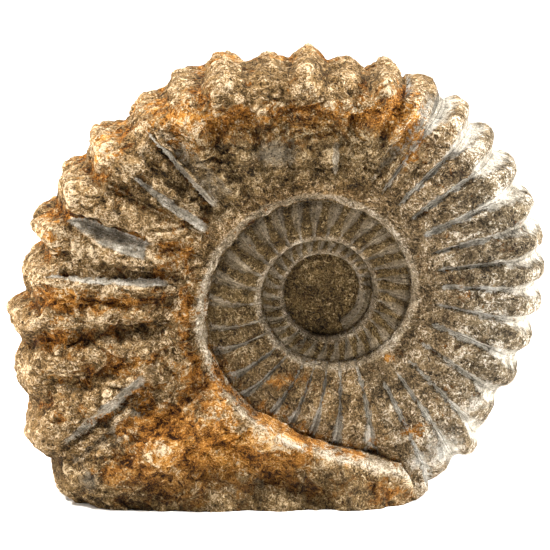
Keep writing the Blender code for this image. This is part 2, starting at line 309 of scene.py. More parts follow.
@dataclass(frozen=True)
class Ribs:
    """Ribs and knobs along the coil, in mm and degrees."""

    grooves: tuple[float, ...] = (
        -166, -155, -141, -131, -116, -107, -97, -87, -74, -62, -53, -43, -31, -19, -8, 1.7, 10.4, 19.5,
        29.5, 40, 49.3, 59, 69.5, 80, 90, 99, 109, 119.5, 129.5, 140, 151, 161, 170.5, 180, 189, 200, 211.5,
        222, 234, 246, 258, 270, 282, 296,
    )
    step_inside: float = 12.0
    lean: Curve = ((-720, 6), (60, 6), (135, 5), (150, 0), (180, -1), (210, -8), (294, -8))
    side_height: Curve = (
        (-720, 1.4), (-360, 2.4), (-180, 3.2), (-60, 4), (0, 5), (50, 5), (75, 3), (125, 3.5), (150, 6.5),
        (190, 7), (205, 5.5), (222, 2), (240, 0), (294, 0),
    )
    edge_height: Curve = (
        (-720, 1), (-180, 2), (-60, 6), (0, 9), (80, 11), (100, 7.5), (130, 8), (150, 12), (200, 12),
        (212, 10), (228, 6), (240, 3), (294, 3),
    )
    side_from: Span = (0.1, 0.3)
    edge_from: Span = (0.72, 0.95)
    loss_on_edge: float = 0.25
    least_fullness: float = 0.65
    fuller: tuple[Area, ...] = (Area(0.45, inner=(0.6, 0.9)), Area(0.2, starts=(70, 140)))
    knobs: tuple[float, ...] = (74, 95, 114.5, 134.5, 156)
    knob_height: float = 8.0
    knob_angle_width: float = 4.6
    knob_place: float = 0.86
    knob_width: float = 0.11
    knob_until: float = 0.6
    step_height: float = 4.0
    step_place: float = 0.83
    step_sag: float = 0.15
    step_softness: float = 0.04
    step_reach: Area = Area(starts=(60, 76), ends=(190, 160), outer=(1.0, 0.9))
    inner_groove: Groove = Groove(0.13, 0.27, (0.15, 0.8))
    low_groove: Groove = Groove(0.09, 0.1, (0.5, 0.9))
    low_ribs: Area = Area(starts=(-200, -170), ends=(-40, -66))
    outer_groove: Groove = Groove(0.1, 0.2, (0.62, 0.95))
    cleaned: Area = Area(starts=(-66, -55), ends=(72, 62), inner=(0.16, 0.24))

    def count(self, at: Points) -> Array:
        """Counts the ribs along the coil: a whole number in each groove, and a half on each rib.

        Args:
            at: the points of the grid.

        Returns:
            The rib count, which leans as the grooves do.
        """
        first = self.grooves[0] - self.step_inside / 2
        grooves = np.concatenate([np.arange(-2 * TURN, first, self.step_inside), self.grooves])
        return np.interp(self.leaned(at), grooves, np.arange(len(grooves)))

    def leaned(self, at: Points) -> Array:
        """Turned angle at the outer edge of the rib that passes through each point."""
        return at.turned - along(self.lean, at.turned) * (1 - at.across)

    def height(self, at: Points) -> Array:
        """Height of the ribs over the grooves in mm.

        Args:
            at: the points of the grid.

        Returns:
            The height in mm.
        """
        side = along(self.side_height, at.turned) * ramp(self.side_from, at.across)
        edge = along(self.edge_height, at.turned)
        share = ramp(self.edge_from, at.across)
        return (side + (edge - side) * share) * (1 - self.loss_on_edge * at.on_edge)

    def fullness(self, at: Points) -> Array:
        """Power of the ribs' rounding: under 1 they are broad with narrow grooves."""
        return summed(self.least_fullness, self.fuller, at)

    def knob_rise(self, at: Points) -> Array:
        """Rise of the knobs on the shoulder, which sit on every second rib over the top of the stone.

        Args:
            at: the points of the grid.

        Returns:
            The rise in mm.
        """
        leaned = self.leaned(at)
        out = (at.across - self.knob_place) / self.knob_width
        rise = np.zeros(at.turned.shape)
        for knob in self.knobs:
            away = np.hypot((leaned - knob) / self.knob_angle_width, out)
            rise += self.knob_height * bell(away) * (at.on_edge < self.knob_until)
        return rise

    def shoulder_step(self, at: Points) -> Array:
        """Rise of the broken step along the shoulder, which sags towards the axis between the knobs.

        Args:
            at: the points of the grid.

        Returns:
            The rise in mm, 0 below the step.
        """
        share = np.interp(self.leaned(at), self.knobs, np.arange(len(self.knobs))) % 1
        place = self.step_place - self.step_sag * 4 * share * (1 - share)
        face = ramp((-self.step_softness, self.step_softness), at.across - place)
        return self.step_height * face * self.step_reach.cover(at)

    def wedge(self, at: Points) -> Array:
        """Half width of the smooth grooves, 0 where weathering has taken them away.

        Args:
            at: the points of the grid.

        Returns:
            The half width as a share of a rib's step.
        """
        inner = self.inner_groove.half_width(at.across)
        low = self.low_groove.half_width(at.across) - inner
        outer = self.outer_groove.half_width(at.across) * self.cleaned.cover(at)
        return np.where(at.last, outer, inner + low * self.low_ribs.cover(at))


@dataclass(frozen=True)
class Stroke:
    """A soft straight ridge on the front, or a hollow with a negative height: (x, z) in mm from the axis."""

    start: Span
    end: Span
    half_width: float
    height: float

    def rise(self, x: Array, z: Array) -> Array:
        """Rise of the ridge at each point.

        Args:
            x: distance of each point to the right of the axis, in mm.
            z: height of each point over the axis, in mm.

        Returns:
            The rise in mm.
        """
        span = np.subtract(self.end, self.start)
        off_x, off_z = x - self.start[0], z - self.start[1]
        t = ((off_x * span[0] + off_z * span[1]) / (span @ span)).clip(0, 1)
        return self.height * bell(np.hypot(off_x - t * span[0], off_z - t * span[1]) / self.half_width)


@dataclass(frozen=True)
class Cut:
    """A chiselled V on the front: two flat facets that meet in a line, (x, z) in mm from the axis.

    Left and right are the widths of the two facets, seen along the line from start to end. Grey is how far
    each of them is bare grey stone, and pale is how far that stone is painted pale as a highlight where the
    wall catches the light.
    """

    start: Span
    end: Span
    left: float
    right: float
    depth: float
    grey_left: float = 0.0
    grey_right: float = 0.0
    pale: float = 0.0

    FORM_ENDS: ClassVar[tuple[Span, Span]] = ((-0.02, 0.12), (1.02, 0.9))
    GREY_ENDS: ClassVar[tuple[Span, Span]] = ((-0.02, 0.1), (1.02, 0.92))
    GREY_EDGE: ClassVar[Span] = (0.0, 0.25)
    TAPER_OVER: ClassVar[Span] = (0.0, 0.6)
    TAPER_LEAST: ClassVar[float] = 0.35

    def place(self, x: Array, z: Array) -> tuple[Array, Array]:
        """Distance of each point to the left of the line, and its share of the way along it.

        Args:
            x: distance of each point to the right of the axis, in mm.
            z: height of each point over the axis, in mm.

        Returns:
            The distance in mm, below 0 on the right, and the share, 0 at the start and 1 at the end.
        """
        span = np.subtract(self.end, self.start)
        length = np.hypot(*span)
        off_x, off_z = x - self.start[0], z - self.start[1]
        left = (span[0] * off_z - span[1] * off_x) / length
        return left, (off_x * span[0] + off_z * span[1]) / length**2

    def off_line(self, off: Array) -> Array:
        """Distance from the line as a share of the facet's width, from the distance to its left."""
        return np.where(off > 0, off / self.left, -off / self.right)

    def between(self, ends: tuple[Span, Span], t: Array) -> Array:
        """1 along the line and 0 beyond its two ends."""
        return ramp(ends[0], t) * ramp(ends[1], t)

    def cover(self, x: Array, z: Array) -> Array:
        """1 on the line and 0 at the facets' outer edges, and the same towards the line's ends."""
        off, t = self.place(x, z)
        return (1 - self.off_line(off)).clip(0, 1) * self.between(self.FORM_ENDS, t)

    def rise(self, x: Array, z: Array) -> Array:
        """Rise of the cut at each point, at most 0."""
        return -self.depth * self.cover(x, z)

    def grey(self, x: Array, z: Array) -> Array:
        """How far each point is bare grey stone, over facets that taper towards the line's start.

        Args:
            x: distance of each point to the right of the axis, in mm.
            z: height of each point over the axis, in mm.

        Returns:
            0 on the rock and up to 1 on bare stone.
        """
        off, t = self.place(x, z)
        taper = self.TAPER_LEAST + (1 - self.TAPER_LEAST) * ramp(self.TAPER_OVER, t)
        bare = np.where(off > 0, self.grey_left, self.grey_right)
        edge = ramp(self.GREY_EDGE, 1 - self.off_line(off) / taper)
        return bare * edge * self.between(self.GREY_ENDS, t)


@dataclass(frozen=True)
class Spot:
    """One patch of colour on the front: its middle in mm from the axis, its two radii and its strength."""

    x: float
    z: float
    radius_x: float
    radius_z: float
    strength: float = 1.0

    def cover(self, x: Array, z: Array) -> Array:
        """How much of the patch's colour each point gets."""
        return self.strength * bell(np.hypot((x - self.x) / self.radius_x, (z - self.z) / self.radius_z))


@dataclass(frozen=True)
class FrontMarks:
    """The marks that only the front has: the ridges of the foot, the chisel cuts, and the stains."""

    forms: tuple[Stroke, ...] = (
        Stroke((-88, -84), (-122, -107), 13, 10),
        Stroke((-122, -107), (-172, -142), 13, 7),
        Stroke((-88, -84), (-50, -107), 12, 9),
        Stroke((-50, -107), (16, -138), 12, 8),
        Stroke((-137, -72), (-116, -92), 14, -7),
        Stroke((-84, -128), (-62, -142), 15, -5),
        Stroke((-42, -132), (4, -150), 10, -6),
        Stroke((-131, 131), (-82, 69), 8, -4),
        Stroke((-222, -24), (-134, -20), 8, -6),
        Stroke((-190, 106), (-150, 88), 8, -3),
        Stroke((-205, -60), (-160, -48), 8, -5),
    )
    cuts: tuple[Cut, ...] = (
        Cut((-134, 129), (-82, 67), 5, 13, 6.0, 0.95, 0.0, 0.6),
        Cut((-128, 133), (-77, 73), 15, 1.5, 2.5, 0.5, 0.6),
        Cut((-144, 98), (-85, 56), 4, 8, 6.0, 0.2, 0.85, 0.5),
        Cut((-201, 71), (-129, 45), 4, 15, 7.0, 0.2, 0.78, 0.3),
        Cut((-212, 22), (-115, 18), 12, 5, 6.0, 0.2, 0.85, 0.5),
        Cut((-201, -112), (-130, -58), 10, 4, 5.0, 0.72, 0.45, 0.2),
        Cut((-196, -124), (-126, -70), 4, 9, 3.5, 0.5, 0.45),
        Cut((27, 86), (80, 158), 5, 7, 4.5, 0.5, 0.62),
        Cut((5, 92), (6, 122), 2.5, 2.5, 2.5, 0.7, 0.7),
        Cut((-27, 98), (-26, 124), 2.5, 2.5, 2.0, 0.6, 0.6),
    )
    facets: tuple[Spot, ...] = (
        Spot(-38, 112, 17, 13, 0.8),
        Spot(86, -112, 20, 22, 0.6),
        Spot(66, -124, 12, 14, 0.55),
        Spot(112, -78, 13, 10, 0.6),
        Spot(-178, -132, 12, 12, 0.6),
        Spot(-160, -98, 12, 16, 0.45),
        Spot(-86, -90, 5, 5, 0.6),
        Spot(-52, -134, 9, 9, 0.5),
        Spot(-70, -140, 14, 8, 0.45),
    )
    stains: tuple[Spot, ...] = (
        Spot(-165, 118, 16, 20, 0.8),
        Spot(-130, 140, 36, 14, 0.7),
        Spot(-96, 132, 20, 26, 0.75),
        Spot(-58, 134, 26, 16, 0.8),
        Spot(-8, 134, 30, 16, 0.8),
        Spot(32, 134, 24, 14, 0.95),
        Spot(60, 126, 12, 24, 0.95),
        Spot(44, 150, 22, 12, 0.6),
        Spot(-208, 54, 16, 20, 0.8),
        Spot(-200, 6, 26, 14, 0.6),
        Spot(-116, 36, 20, 28, 0.7),
        Spot(-104, -16, 12, 46, 0.55),
        Spot(-160, -2, 40, 14, 0.6),
        Spot(-150, -46, 40, 16, 0.75),
        Spot(-196, -30, 20, 14, 0.6),
        Spot(-190, -84, 22, 16, 0.5),
        Spot(-130, -92, 26, 20, 0.95),
        Spot(-90, -110, 56, 26, 0.72),
        Spot(-150, -126, 30, 12, 0.85),
        Spot(-122, -134, 40, 16, 0.7),
        Spot(-84, -66, 14, 26, 0.6),
        Spot(-40, -106, 30, 10, 0.7),
        Spot(-30, -120, 50, 14, 0.6),
        Spot(45, -46, 5, 4, 1.0),
        Spot(66, -100, 12, 12, 0.8),
        Spot(39, -143, 4, 5, 0.9),
        Spot(-36, -62, 14, 6, 0.7),
        Spot(-42, -92, 10, 6, 0.7),
        Spot(110, 5, 22, 6, 0.5),
    )
    most_stain: float = 0.95

    def rise(self, at: Points) -> Array:
        """Rise of the foot's ridges and of the cuts in mm."""
        return sum(mark.rise(at.x, at.z) for mark in self.forms + self.cuts) * at.front

    def chisel(self, at: Points) -> Array:
        """How far each point is smooth, grey, tooled stone.

        Args:
            at: the points of the grid.

        Returns:
            0 on the rock and 1 on tooled stone.
        """
        cut = [cut.grey(at.x, at.z) for cut in self.cuts]
        broken = [facet.cover(at.x, at.z) for facet in self.facets]
        return np.max(cut + broken, axis=0) * at.front

    def lit_wall_highlight(self, at: Points) -> Array:
        """How far each point is painted pale as a highlight on a cut wall that catches the light."""
        return np.max([cut.pale * cut.grey(at.x, at.z) for cut in self.cuts], axis=0) * at.front

    def streak(self, at: Points, elsewhere: Array) -> Array:
        """Coordinate across the tool marks: mm from a cut's line, or the value given elsewhere.

        Args:
            at: the points of the grid.
            elsewhere: the coordinate away from the cuts.

        Returns:
            The coordinate in mm.
        """
        streak = elsewhere
        for cut in self.cuts:
            streak = np.where(cut.cover(at.x, at.z) > 0, cut.place(at.x, at.z)[0], streak)
        return streak

    def rust(self, at: Points) -> Array:
        """How far each point is stained by rust."""
        clean = [1 - stain.cover(at.x, at.z).clip(0, self.most_stain) for stain in self.stains]
        return (1 - np.prod(clean, axis=0)) * at.front


@dataclass(frozen=True)
class Ageing:
    """The masks that depend on the place on the coil: pale rims, ash, fibres, rust, the dark patina with
    painted shade, and rough rock.
    """

    rim_width: Curve = (
        (-720, 4), (-360, 5.5), (-66, 6), (100, 7), (150, 8), (200, 10), (240, 12), (294, 14),
    )
    rim_starts: Span = (0.3, 1.3)
    rim_fades: Span = (1.45, 0.65)
    ash_right: Area = Area(starts=(85, 35))
    ash_right_least: float = 0.55
    ash_right_from: Span = (60, 140)
    ash_corner: Area = Area(0.5, starts=(225, 262), inner=(0.7, 0.95))
    ash_inside: float = 0.25
    fibre_wall: tuple[Area, ...] = (
        Area(0.3, outer=(0.36, 0.2)),
        Area(0.7, starts=(120, 180), outer=(0.36, 0.2)),
    )
    fibre_tongue: Area = Area(0.8, starts=(225, 250), outer=(0.95, 0.7))
    rock_inside: float = 0.22
    rock_outside: float = 0.5
    rougher: tuple[Area, ...] = (Area(0.5, starts=(45, 85)), Area(-0.4, starts=(215, 240), outer=(0.9, 0.5)))
    wall_least: float = 0.3
    wall_from: Span = (2, 14)
    smoother_edge: Area = Area(0.5, inner=(0.82, 0.95))
    rust_everywhere: float = 0.06
    rust_inside: float = 0.2
    rust_areas: tuple[Area, ...] = (
        Area(0.55, starts=(60, 90), ends=(250, 215), inner=(0.35, 0.8), back=(20, -20)),
        Area(0.35, starts=(225, 245), back=(5, -15)),
    )
    rusty_tongue: Area = Area(0.24, starts=(195, 235), outer=(0.75, 0.4))
    # the inner coil's darker patina is partly painted shade of its recess, less of it towards its lower part
    patina_core: float = 0.9
    patina_inside: float = 0.95
    lighter_below: Area = Area(0.72, starts=(-190, -110))
    # painted shade on the last whorl's front: over the hollow middle below the knobs, and thinly on the left
    front_shade: tuple[Area, ...] = (
        Area(0.65, starts=(50, 75), ends=(165, 130), inner=(0.08, 0.2), outer=(0.72, 0.55)),
        Area(0.12, starts=(150, 175), ends=(235, 215), inner=(0.1, 0.25), outer=(0.9, 0.6)),
    )
    # painted shade on the downward-facing front of the foot
    foot_shade: float = 0.6
    foot_from_z: Span = (-106, -140)
    foot_from_x: Span = (60, 20)

    def rim(self, at: Points) -> Array:
        """Mask of the pale rim just outside each seam.

        Args:
            at: the points of the grid.

        Returns:
            0 away from the rims and 1 on them.
        """
        width = along(self.rim_width, at.turned)
        share = at.off_seam / width
        return np.where(at.core, 0, ramp(self.rim_starts, at.off_seam) * ramp(self.rim_fades, share))

    def ash(self, at: Points) -> Array:
        """Mask of the greyer, paler stone: the right side and the lower left corner.

        Args:
            at: the points of the grid.

        Returns:
            0 on brown stone and 1 on the palest.
        """
        least = self.ash_right_least
        right = self.ash_right.cover(at) * (least + (1 - least) * ramp(self.ash_right_from, at.x))
        return np.where(at.last, np.maximum(right, self.ash_corner.cover(at)), self.ash_inside)

    def fibre(self, at: Points) -> Array:
        """Mask of the fibrous stone: the wall of the hollow middle, and the tongue over the foot."""
        wall = summed(0.0, self.fibre_wall, at)
        return np.where(at.last, np.maximum(wall, self.fibre_tongue.cover(at)), 0)

    def rock(self, at: Points) -> Array:
        """How rough the rock is: the broken left and top most, the inner coil least.

        Args:
            at: the points of the grid.

        Returns:
            The share of the rock's relief that each point gets.
        """
        outer = summed(self.rock_outside, self.rougher, at)
        wall = ramp(self.wall_from, at.off_seam) * (1 - self.smoother_edge.cover(at))
        return np.where(at.last, outer * (self.wall_least + (1 - self.wall_least) * wall), self.rock_inside)

    def rust(self, at: Points) -> Array:
        """Rust on the back, over the outer edge, on the tongue and, thinly, everywhere."""
        base = np.where(at.last, self.rust_everywhere, self.rust_inside)
        return summed(0.0, self.rust_areas, at) + base + self.rusty_tongue.cover(at) * at.front

    def patina_and_shade(self, at: Points) -> Array:
        """How dark the surface is: the inner coil's own darker patina, partly painted shade of its recess,
        and painted shade on parts of the last whorl's front.

        Args:
            at: the points of the grid.

        Returns:
            0 where nothing is darkened and 1 on the darkest.
        """
        inside = np.where(at.core, self.patina_core, self.patina_inside - self.lighter_below.cover(at))
        foot = self.foot_shade * ramp(self.foot_from_z, at.z) * ramp(self.foot_from_x, at.x)
        front_shade = np.max([foot] + [area.cover(at) for area in self.front_shade], axis=0)
        return np.where(at.last, front_shade * at.front, inside)


@dataclass(frozen=True)
class Texture:
    """The settings of one noise texture."""

    detail: float
    roughness: float
    distortion: float = 0.0


class Sheet:
    """A node tree that is being drawn, with short ways to add and link its nodes."""

    def __init__(self, tree: bpy.types.NodeTree) -> None:
        """Keeps the tree that nodes are added to."""
        self.tree = tree

    def add(self, kind: str, inputs: dict | None = None, **settings: object) -> bpy.types.Node:
        """Adds one node.

        Args:
            kind: the node's Blender type.
            inputs: socket name or number to a value, or to the output that feeds it.
            settings: properties of the node, set before its inputs.

        Returns:
            The new node.
        """
        node = self.tree.nodes.new(kind)
        for name, value in settings.items():
            setattr(node, name, value)
        for key, value in (inputs or {}).items():
            if isinstance(value, Socket):
                self.tree.links.new(value, node.inputs[key])
            else:
                node.inputs[key].default_value = value
        return node

    def offer(self, names: tuple[str, ...], kind: str = "Float", way: str = "OUTPUT") -> None:
        """Adds sockets of one kind to the tree's interface, as its inputs or its outputs."""
        for name in names:
            self.tree.interface.new_socket(name, in_out=way, socket_type="NodeSocket" + kind)

    def math(self, operation: str, *values: float | Socket, clamp: bool = False) -> Socket:
        """Adds a Math node on one to three values and returns its output."""
        node = self.add("ShaderNodeMath", dict(enumerate(values)), operation=operation, use_clamp=clamp)
        return node.outputs[0]

    def total(self, first: float | Socket, *others: float | Socket) -> Socket:
        """Adds up any number of values.

        Args:
            first: the first value.
            others: the values that follow it.

        Returns:
            The sum.
        """
        for value in others:
            first = self.math("ADD", first, value)
        return first

    def product(self, first: float | Socket, *others: float | Socket) -> Socket:
        """Multiplies any number of values.

        Args:
            first: the first value.
            others: the values that follow it.

        Returns:
            The product.
        """
        for value in others:
            first = self.math("MULTIPLY", first, value)
        return first

    def less(self, value: float | Socket, taken: float | Socket) -> Socket:
        """Takes one value from another."""
        return self.math("SUBTRACT", value, taken)

    def noise(self, texture: Texture, inputs: dict) -> Socket:
        """Adds a noise texture, in four dimensions where the inputs hold a W, and returns its value.

        Args:
            texture: the noise's settings.
            inputs: its other inputs by name: the point, the scale and, where it is seeded, W.

        Returns:
            The noise, from 0 to 1.
        """
        values = {"Detail": texture.detail, "Roughness": texture.roughness, "Distortion": texture.distortion}
        dimensions = "4D" if "W" in inputs else "3D"
        return self.add("ShaderNodeTexNoise", {**values, **inputs}, noise_dimensions=dimensions).outputs[0]

    def remap(self, value: Socket, span: tuple[float | Socket, float | Socket], to: Span = (0, 1)) -> Socket:
        """Maps one span smoothly onto another and holds the end values beyond it.

        Args:
            value: the value to map.
            span: the values that give the two ends of the new span; the first may be the larger one.
            to: the new span.

        Returns:
            The mapped value.
        """
        inputs = {"Value": value, "From Min": span[0], "From Max": span[1], "To Min": to[0], "To Max": to[1]}
        return self.add("ShaderNodeMapRange", inputs, interpolation_type="SMOOTHSTEP").outputs["Result"]

    def blend(self, share: float | Socket, base: Socket, over: Socket | Colour) -> Socket:
        """Mixes a share of a second colour into a first one."""
        second = over if isinstance(over, Socket) else (*over, 1)
        return self.add("ShaderNodeMix", {0: share, 6: base, 7: second}, data_type="RGBA").outputs[2]


@dataclass(frozen=True)
class Weathering:
    """The Geometry Nodes tree that raises the ribs and weathers the rock, with its named inputs in mm."""

    groove_share: float = 0.55
    groove_softness: float = 0.035
    groove_least: float = 0.02
    groove_from: float = 0.03
    flank: Span = (0.25, 1.3)
    ledge_size: float = 24.0
    ledge_height: float = 2.9
    ledge_squeeze: Place = (0.85, 0.9, 1.15)
    ledge_texture: Texture = Texture(2.4, 0.55, 0.9)
    ledge_fold: Span = (-0.04, 0.16)
    ledge_rise: Span = (-1.0, 0.25)
    crumb_size: float = 7.0
    crumb_height: float = 0.8
    crumb_texture: Texture = Texture(1.2, 0.6, 0.8)
    crumb_gap: Span = (0.28, 0.62)
    crumb_rise: Span = (-1.0, 0.3)
    pit_size: float = 12.0
    pit_depth: float = 1.6
    pit_bowl: Span = (0.12, 0.42)
    cells_kept: float = 0.72
    crevice_reach: int = 40
    relief_reach: int = 5
    seed: float = 4.0

    def sizes(self) -> dict[str, float]:
        """The named inputs of the tree and their values.

        Returns:
            Socket names and values, in the order of the tree's sockets.
        """
        return {
            "Groove share": self.groove_share,
            "Groove softness": self.groove_softness,
            "Ledge size": self.ledge_size,
            "Ledge height": self.ledge_height,
            "Crumb size": self.crumb_size,
            "Crumb height": self.crumb_height,
            "Pit size": self.pit_size,
            "Pit depth": self.pit_depth,
            "Seed": self.seed,
        }

    def tree(self) -> bpy.types.NodeTree:
        """Draws the tree.

        Returns:
            A node group that takes the smooth skin and gives the ribbed and weathered one.
        """
        sheet = Sheet(bpy.data.node_groups.new("ribs_and_weathering", "GeometryNodeTree"))
        sheet.offer(("Geometry",), "Geometry", "INPUT")
        sheet.offer(tuple(self.sizes()), way="INPUT")
        sheet.offer(("Material",), "Material", "INPUT")
        sheet.offer(("Geometry",), "Geometry")
        given = sheet.add("NodeGroupInput").outputs
        shape = sheet.total(self.rib_rise(sheet, given), self.stored(sheet, "form"))
        formed = self.moved(sheet, given["Geometry"], shape)
        rough = self.rock_rise(sheet, given)
        skin = self.moved(sheet, formed, rough)
        # relief and crevice drive the finish's painted shade in hollows and painted highlight on crests
        skin = self.kept(sheet, skin, Mask.RELIEF, self.relief(sheet, rough, self.relief_reach))
        skin = self.kept(sheet, skin, Mask.CREVICE, self.relief(sheet, shape, self.crevice_reach))
        realized = sheet.add("GeometryNodeRealizeInstances", {"Geometry": skin}).outputs[0]
        finish = {"Geometry": realized, "Material": given["Material"]}
        dressed = sheet.add("GeometryNodeSetMaterial", finish).outputs[0]
        sheet.add("NodeGroupOutput", {"Geometry": dressed})
        return sheet.tree

    def stored(self, sheet: Sheet, name: str) -> Socket:
        """Reads one of the skin's own attributes."""
        node = sheet.add("GeometryNodeInputNamedAttribute", {"Name": name}, data_type="FLOAT")
        return node.outputs["Attribute"]

    def kept(self, sheet: Sheet, geometry: Socket, mask: Mask, value: Socket) -> Socket:
        """Keeps a value as an attribute for the finish, and returns the geometry.

        Args:
            sheet: the node tree that is being drawn.
            geometry: the skin so far.
            mask: the attribute's name.
            value: what the attribute holds.

        Returns:
            The geometry with the attribute.
        """
        inputs = {"Geometry": geometry, "Name": mask.value, "Value": value}
        node = sheet.add("GeometryNodeStoreNamedAttribute", inputs, data_type="FLOAT", domain="POINT")
        return node.outputs["Geometry"]

    def relief(self, sheet: Sheet, rise: Socket, reach: int) -> Socket:
        """How far a point stands over its surroundings, in mm, averaged over a number of grid steps."""
        inputs = {"Value": rise, "Iterations": reach}
        return sheet.less(rise, sheet.add("GeometryNodeBlurAttribute", inputs, data_type="FLOAT").outputs[0])

    def moved(self, sheet: Sheet, geometry: Socket, rise: Socket) -> Socket:
        """Moves the skin along its normal by a rise in mm, and returns the geometry.

        Args:
            sheet: the node tree that is being drawn.
            geometry: the skin so far.
            rise: how far each point moves out, in mm.

        Returns:
            The moved geometry.
        """
        normal = sheet.add("GeometryNodeInputNormal").outputs[0]
        scaled = {0: normal, 3: sheet.product(rise, MM)}
        offset = sheet.add("ShaderNodeVectorMath", scaled, operation="SCALE").outputs[0]
        return sheet.add("GeometryNodeSetPosition", {"Geometry": geometry, "Offset": offset}).outputs[0]

    def rib_rise(self, sheet: Sheet, given: Outputs) -> Socket:
        """Rise of the ribs in mm: rounded waves along the coil, with a narrower groove between them.

        Args:
            sheet: the node tree that is being drawn.
            given: the tree's named inputs.

        Returns:
            The rise, 0 on the crests and below 0 in the grooves.
        """
        count = self.stored(sheet, Mask.RIB_COUNT.value)
        wedge = self.stored(sheet, Mask.WEDGE.value)
        sine = sheet.math("SINE", sheet.product(sheet.math("FRACT", count), math.pi))
        sine = sheet.math("MAXIMUM", sine, 0.0)
        softened = sheet.math("SQRT", sheet.math("MULTIPLY_ADD", sine, sine, given["Groove softness"]))
        wave = sheet.math("POWER", softened, self.stored(sheet, "rib_fullness"))
        width = sheet.math("MAXIMUM", wedge, self.groove_least)
        edges = tuple(sheet.product(width, share) for share in self.flank)
        flank = sheet.remap(sheet.math("PINGPONG", count, 0.5), edges)
        cut = sheet.math("GREATER_THAN", wedge, self.groove_from)
        straight = sheet.product(sheet.less(flank, wave), sheet.product(given["Groove share"], cut))
        profile = sheet.total(wave, straight)
        return sheet.product(self.stored(sheet, "rib_height"), sheet.less(profile, 1.0))

    def rock_rise(self, sheet: Sheet, given: Outputs) -> Socket:
        """Rise of the weathered rock in mm: ledges, crumbs and pits, mostly cut into the skin.

        Args:
            sheet: the node tree that is being drawn.
            given: the tree's named inputs.

        Returns:
            The rise, most of it below 0.
        """
        place = sheet.add("GeometryNodeInputPosition").outputs[0]
        parts = [draw(sheet, place, given) for draw in (self.ledges, self.crumbs, self.pits)]
        return sheet.product(sheet.total(*parts), self.stored(sheet, Mask.GRAIN.value))

    def pattern(self, sheet: Sheet, place: Socket, given: Outputs, size: str) -> dict:
        """Inputs of a seeded texture, whose scale in turns a metre comes from a size in mm."""
        return {"Vector": place, "W": given["Seed"], "Scale": sheet.math("DIVIDE", 1 / MM, given[size])}

    def ledges(self, sheet: Sheet, place: Socket, given: Outputs) -> Socket:
        """Wavy broken ledges that run along the stone, with a steep lower side.

        Args:
            sheet: the node tree that is being drawn.
            place: the point in the object's frame.
            given: the tree's named inputs.

        Returns:
            The rise in mm.
        """
        squeezed = sheet.add("ShaderNodeVectorMath", {0: place, 1: self.ledge_squeeze}, operation="MULTIPLY")
        inputs = self.pattern(sheet, squeezed.outputs[0], given, "Ledge size")
        steep = sheet.math("ABSOLUTE", sheet.less(sheet.noise(self.ledge_texture, inputs), 0.5))
        return sheet.product(sheet.remap(steep, self.ledge_fold, self.ledge_rise), given["Ledge height"])

    def crumbs(self, sheet: Sheet, place: Socket, given: Outputs) -> Socket:
        """Coarse crumbs with gaps between them."""
        crumb = sheet.noise(self.crumb_texture, self.pattern(sheet, place, given, "Crumb size"))
        return sheet.product(sheet.remap(crumb, self.crumb_gap, self.crumb_rise), given["Crumb height"])

    def pits(self, sheet: Sheet, place: Socket, given: Outputs) -> Socket:
        """Round pits, where some of the cells of a Voronoi pattern have fallen out.

        Args:
            sheet: the node tree that is being drawn.
            place: the point in the object's frame.
            given: the tree's named inputs.

        Returns:
            The rise in mm, at most 0.
        """
        inputs = self.pattern(sheet, place, given, "Pit size")
        cells = sheet.add("ShaderNodeTexVoronoi", inputs, voronoi_dimensions="4D").outputs
        pick = sheet.add("FunctionNodeSeparateColor", {0: cells["Color"]}).outputs[0]
        fallen = sheet.math("GREATER_THAN", pick, self.cells_kept)
        bowl = sheet.remap(cells["Distance"], self.pit_bowl, (-1.0, 0.0))
        return sheet.product(bowl, fallen, given["Pit depth"])


class Finish:
    """A material that is being drawn: its node tree, its shader and the point in the object's frame."""

    def __init__(self, name: str) -> None:
        """Starts the material.

        Args:
            name: the material's name.
        """
        self.material = bpy.data.materials.new(name)
        self.material.use_nodes = True
        self.sheet = Sheet(self.material.node_tree)
        self.inputs = self.material.node_tree.nodes["Principled BSDF"].inputs
        self.place = self.sheet.add("ShaderNodeTexCoord").outputs["Object"]

    def complete(
        self, colour: Socket, height: Socket, bump: float, roughness: float, sheen: float
    ) -> bpy.types.Material:
        """Feeds the material's shader.

        Args:
            colour: the colour of the surface.
            height: height of the fine relief.
            bump: how far one unit of that height is, in metres.
            roughness: roughness of the surface.
            sheen: how strongly it reflects.

        Returns:
            The material.
        """
        relief = self.sheet.add("ShaderNodeBump", {"Height": height, "Distance": bump, "Strength": 1.0})
        self.sheet.tree.links.new(colour, self.inputs["Base Color"])
        self.sheet.tree.links.new(relief.outputs["Normal"], self.inputs["Normal"])
        self.inputs["Roughness"].default_value = roughness
        self.inputs["Specular IOR Level"].default_value = sheen
        return self.material


@dataclass(frozen=True)
class Tones:
    """A stone colour from its pits over its body to its palest crests."""

    pit: Colour
    body: Colour
    lit: Colour
    crest: Colour

    STOPS: ClassVar[tuple[float, ...]] = (0.12, 0.4, 0.68, 0.92)

    def ramp(self, sheet: Sheet, lightness: Socket) -> Socket:
        """Colours a surface by how light its tone is, from 0 in the pits to 1 on the crests.

        Args:
            sheet: the node tree that is being drawn.
            lightness: how light each point's tone is, from 0 to 1.

        Returns:
            The colour.
        """
        node = sheet.add("ShaderNodeValToRGB", {"Fac": lightness})
        stops = node.color_ramp.elements
        for place in self.STOPS[1:-1]:
            stops.new(place)
        for stop, place, colour in zip(stops, self.STOPS, (self.pit, self.body, self.lit, self.crest)):
            stop.position, stop.color = place, (*colour, 1)
        return node.outputs["Color"]


@dataclass(frozen=True)
class Clouds:
    """Soft irregular noise about 0: its scale in turns a metre, and its whole spread."""

    scale: float
    spread: float

    TEXTURE: ClassVar[Texture] = Texture(4.0, 0.62, 0.8)

    def about_zero(self, sheet: Sheet, place: Socket) -> Socket:
        """The noise at each point, from half the spread below 0 to half of it above."""
        value = sheet.noise(self.TEXTURE, {"Vector": place, "Scale": self.scale})
        return sheet.product(sheet.less(value, 0.5), self.spread)


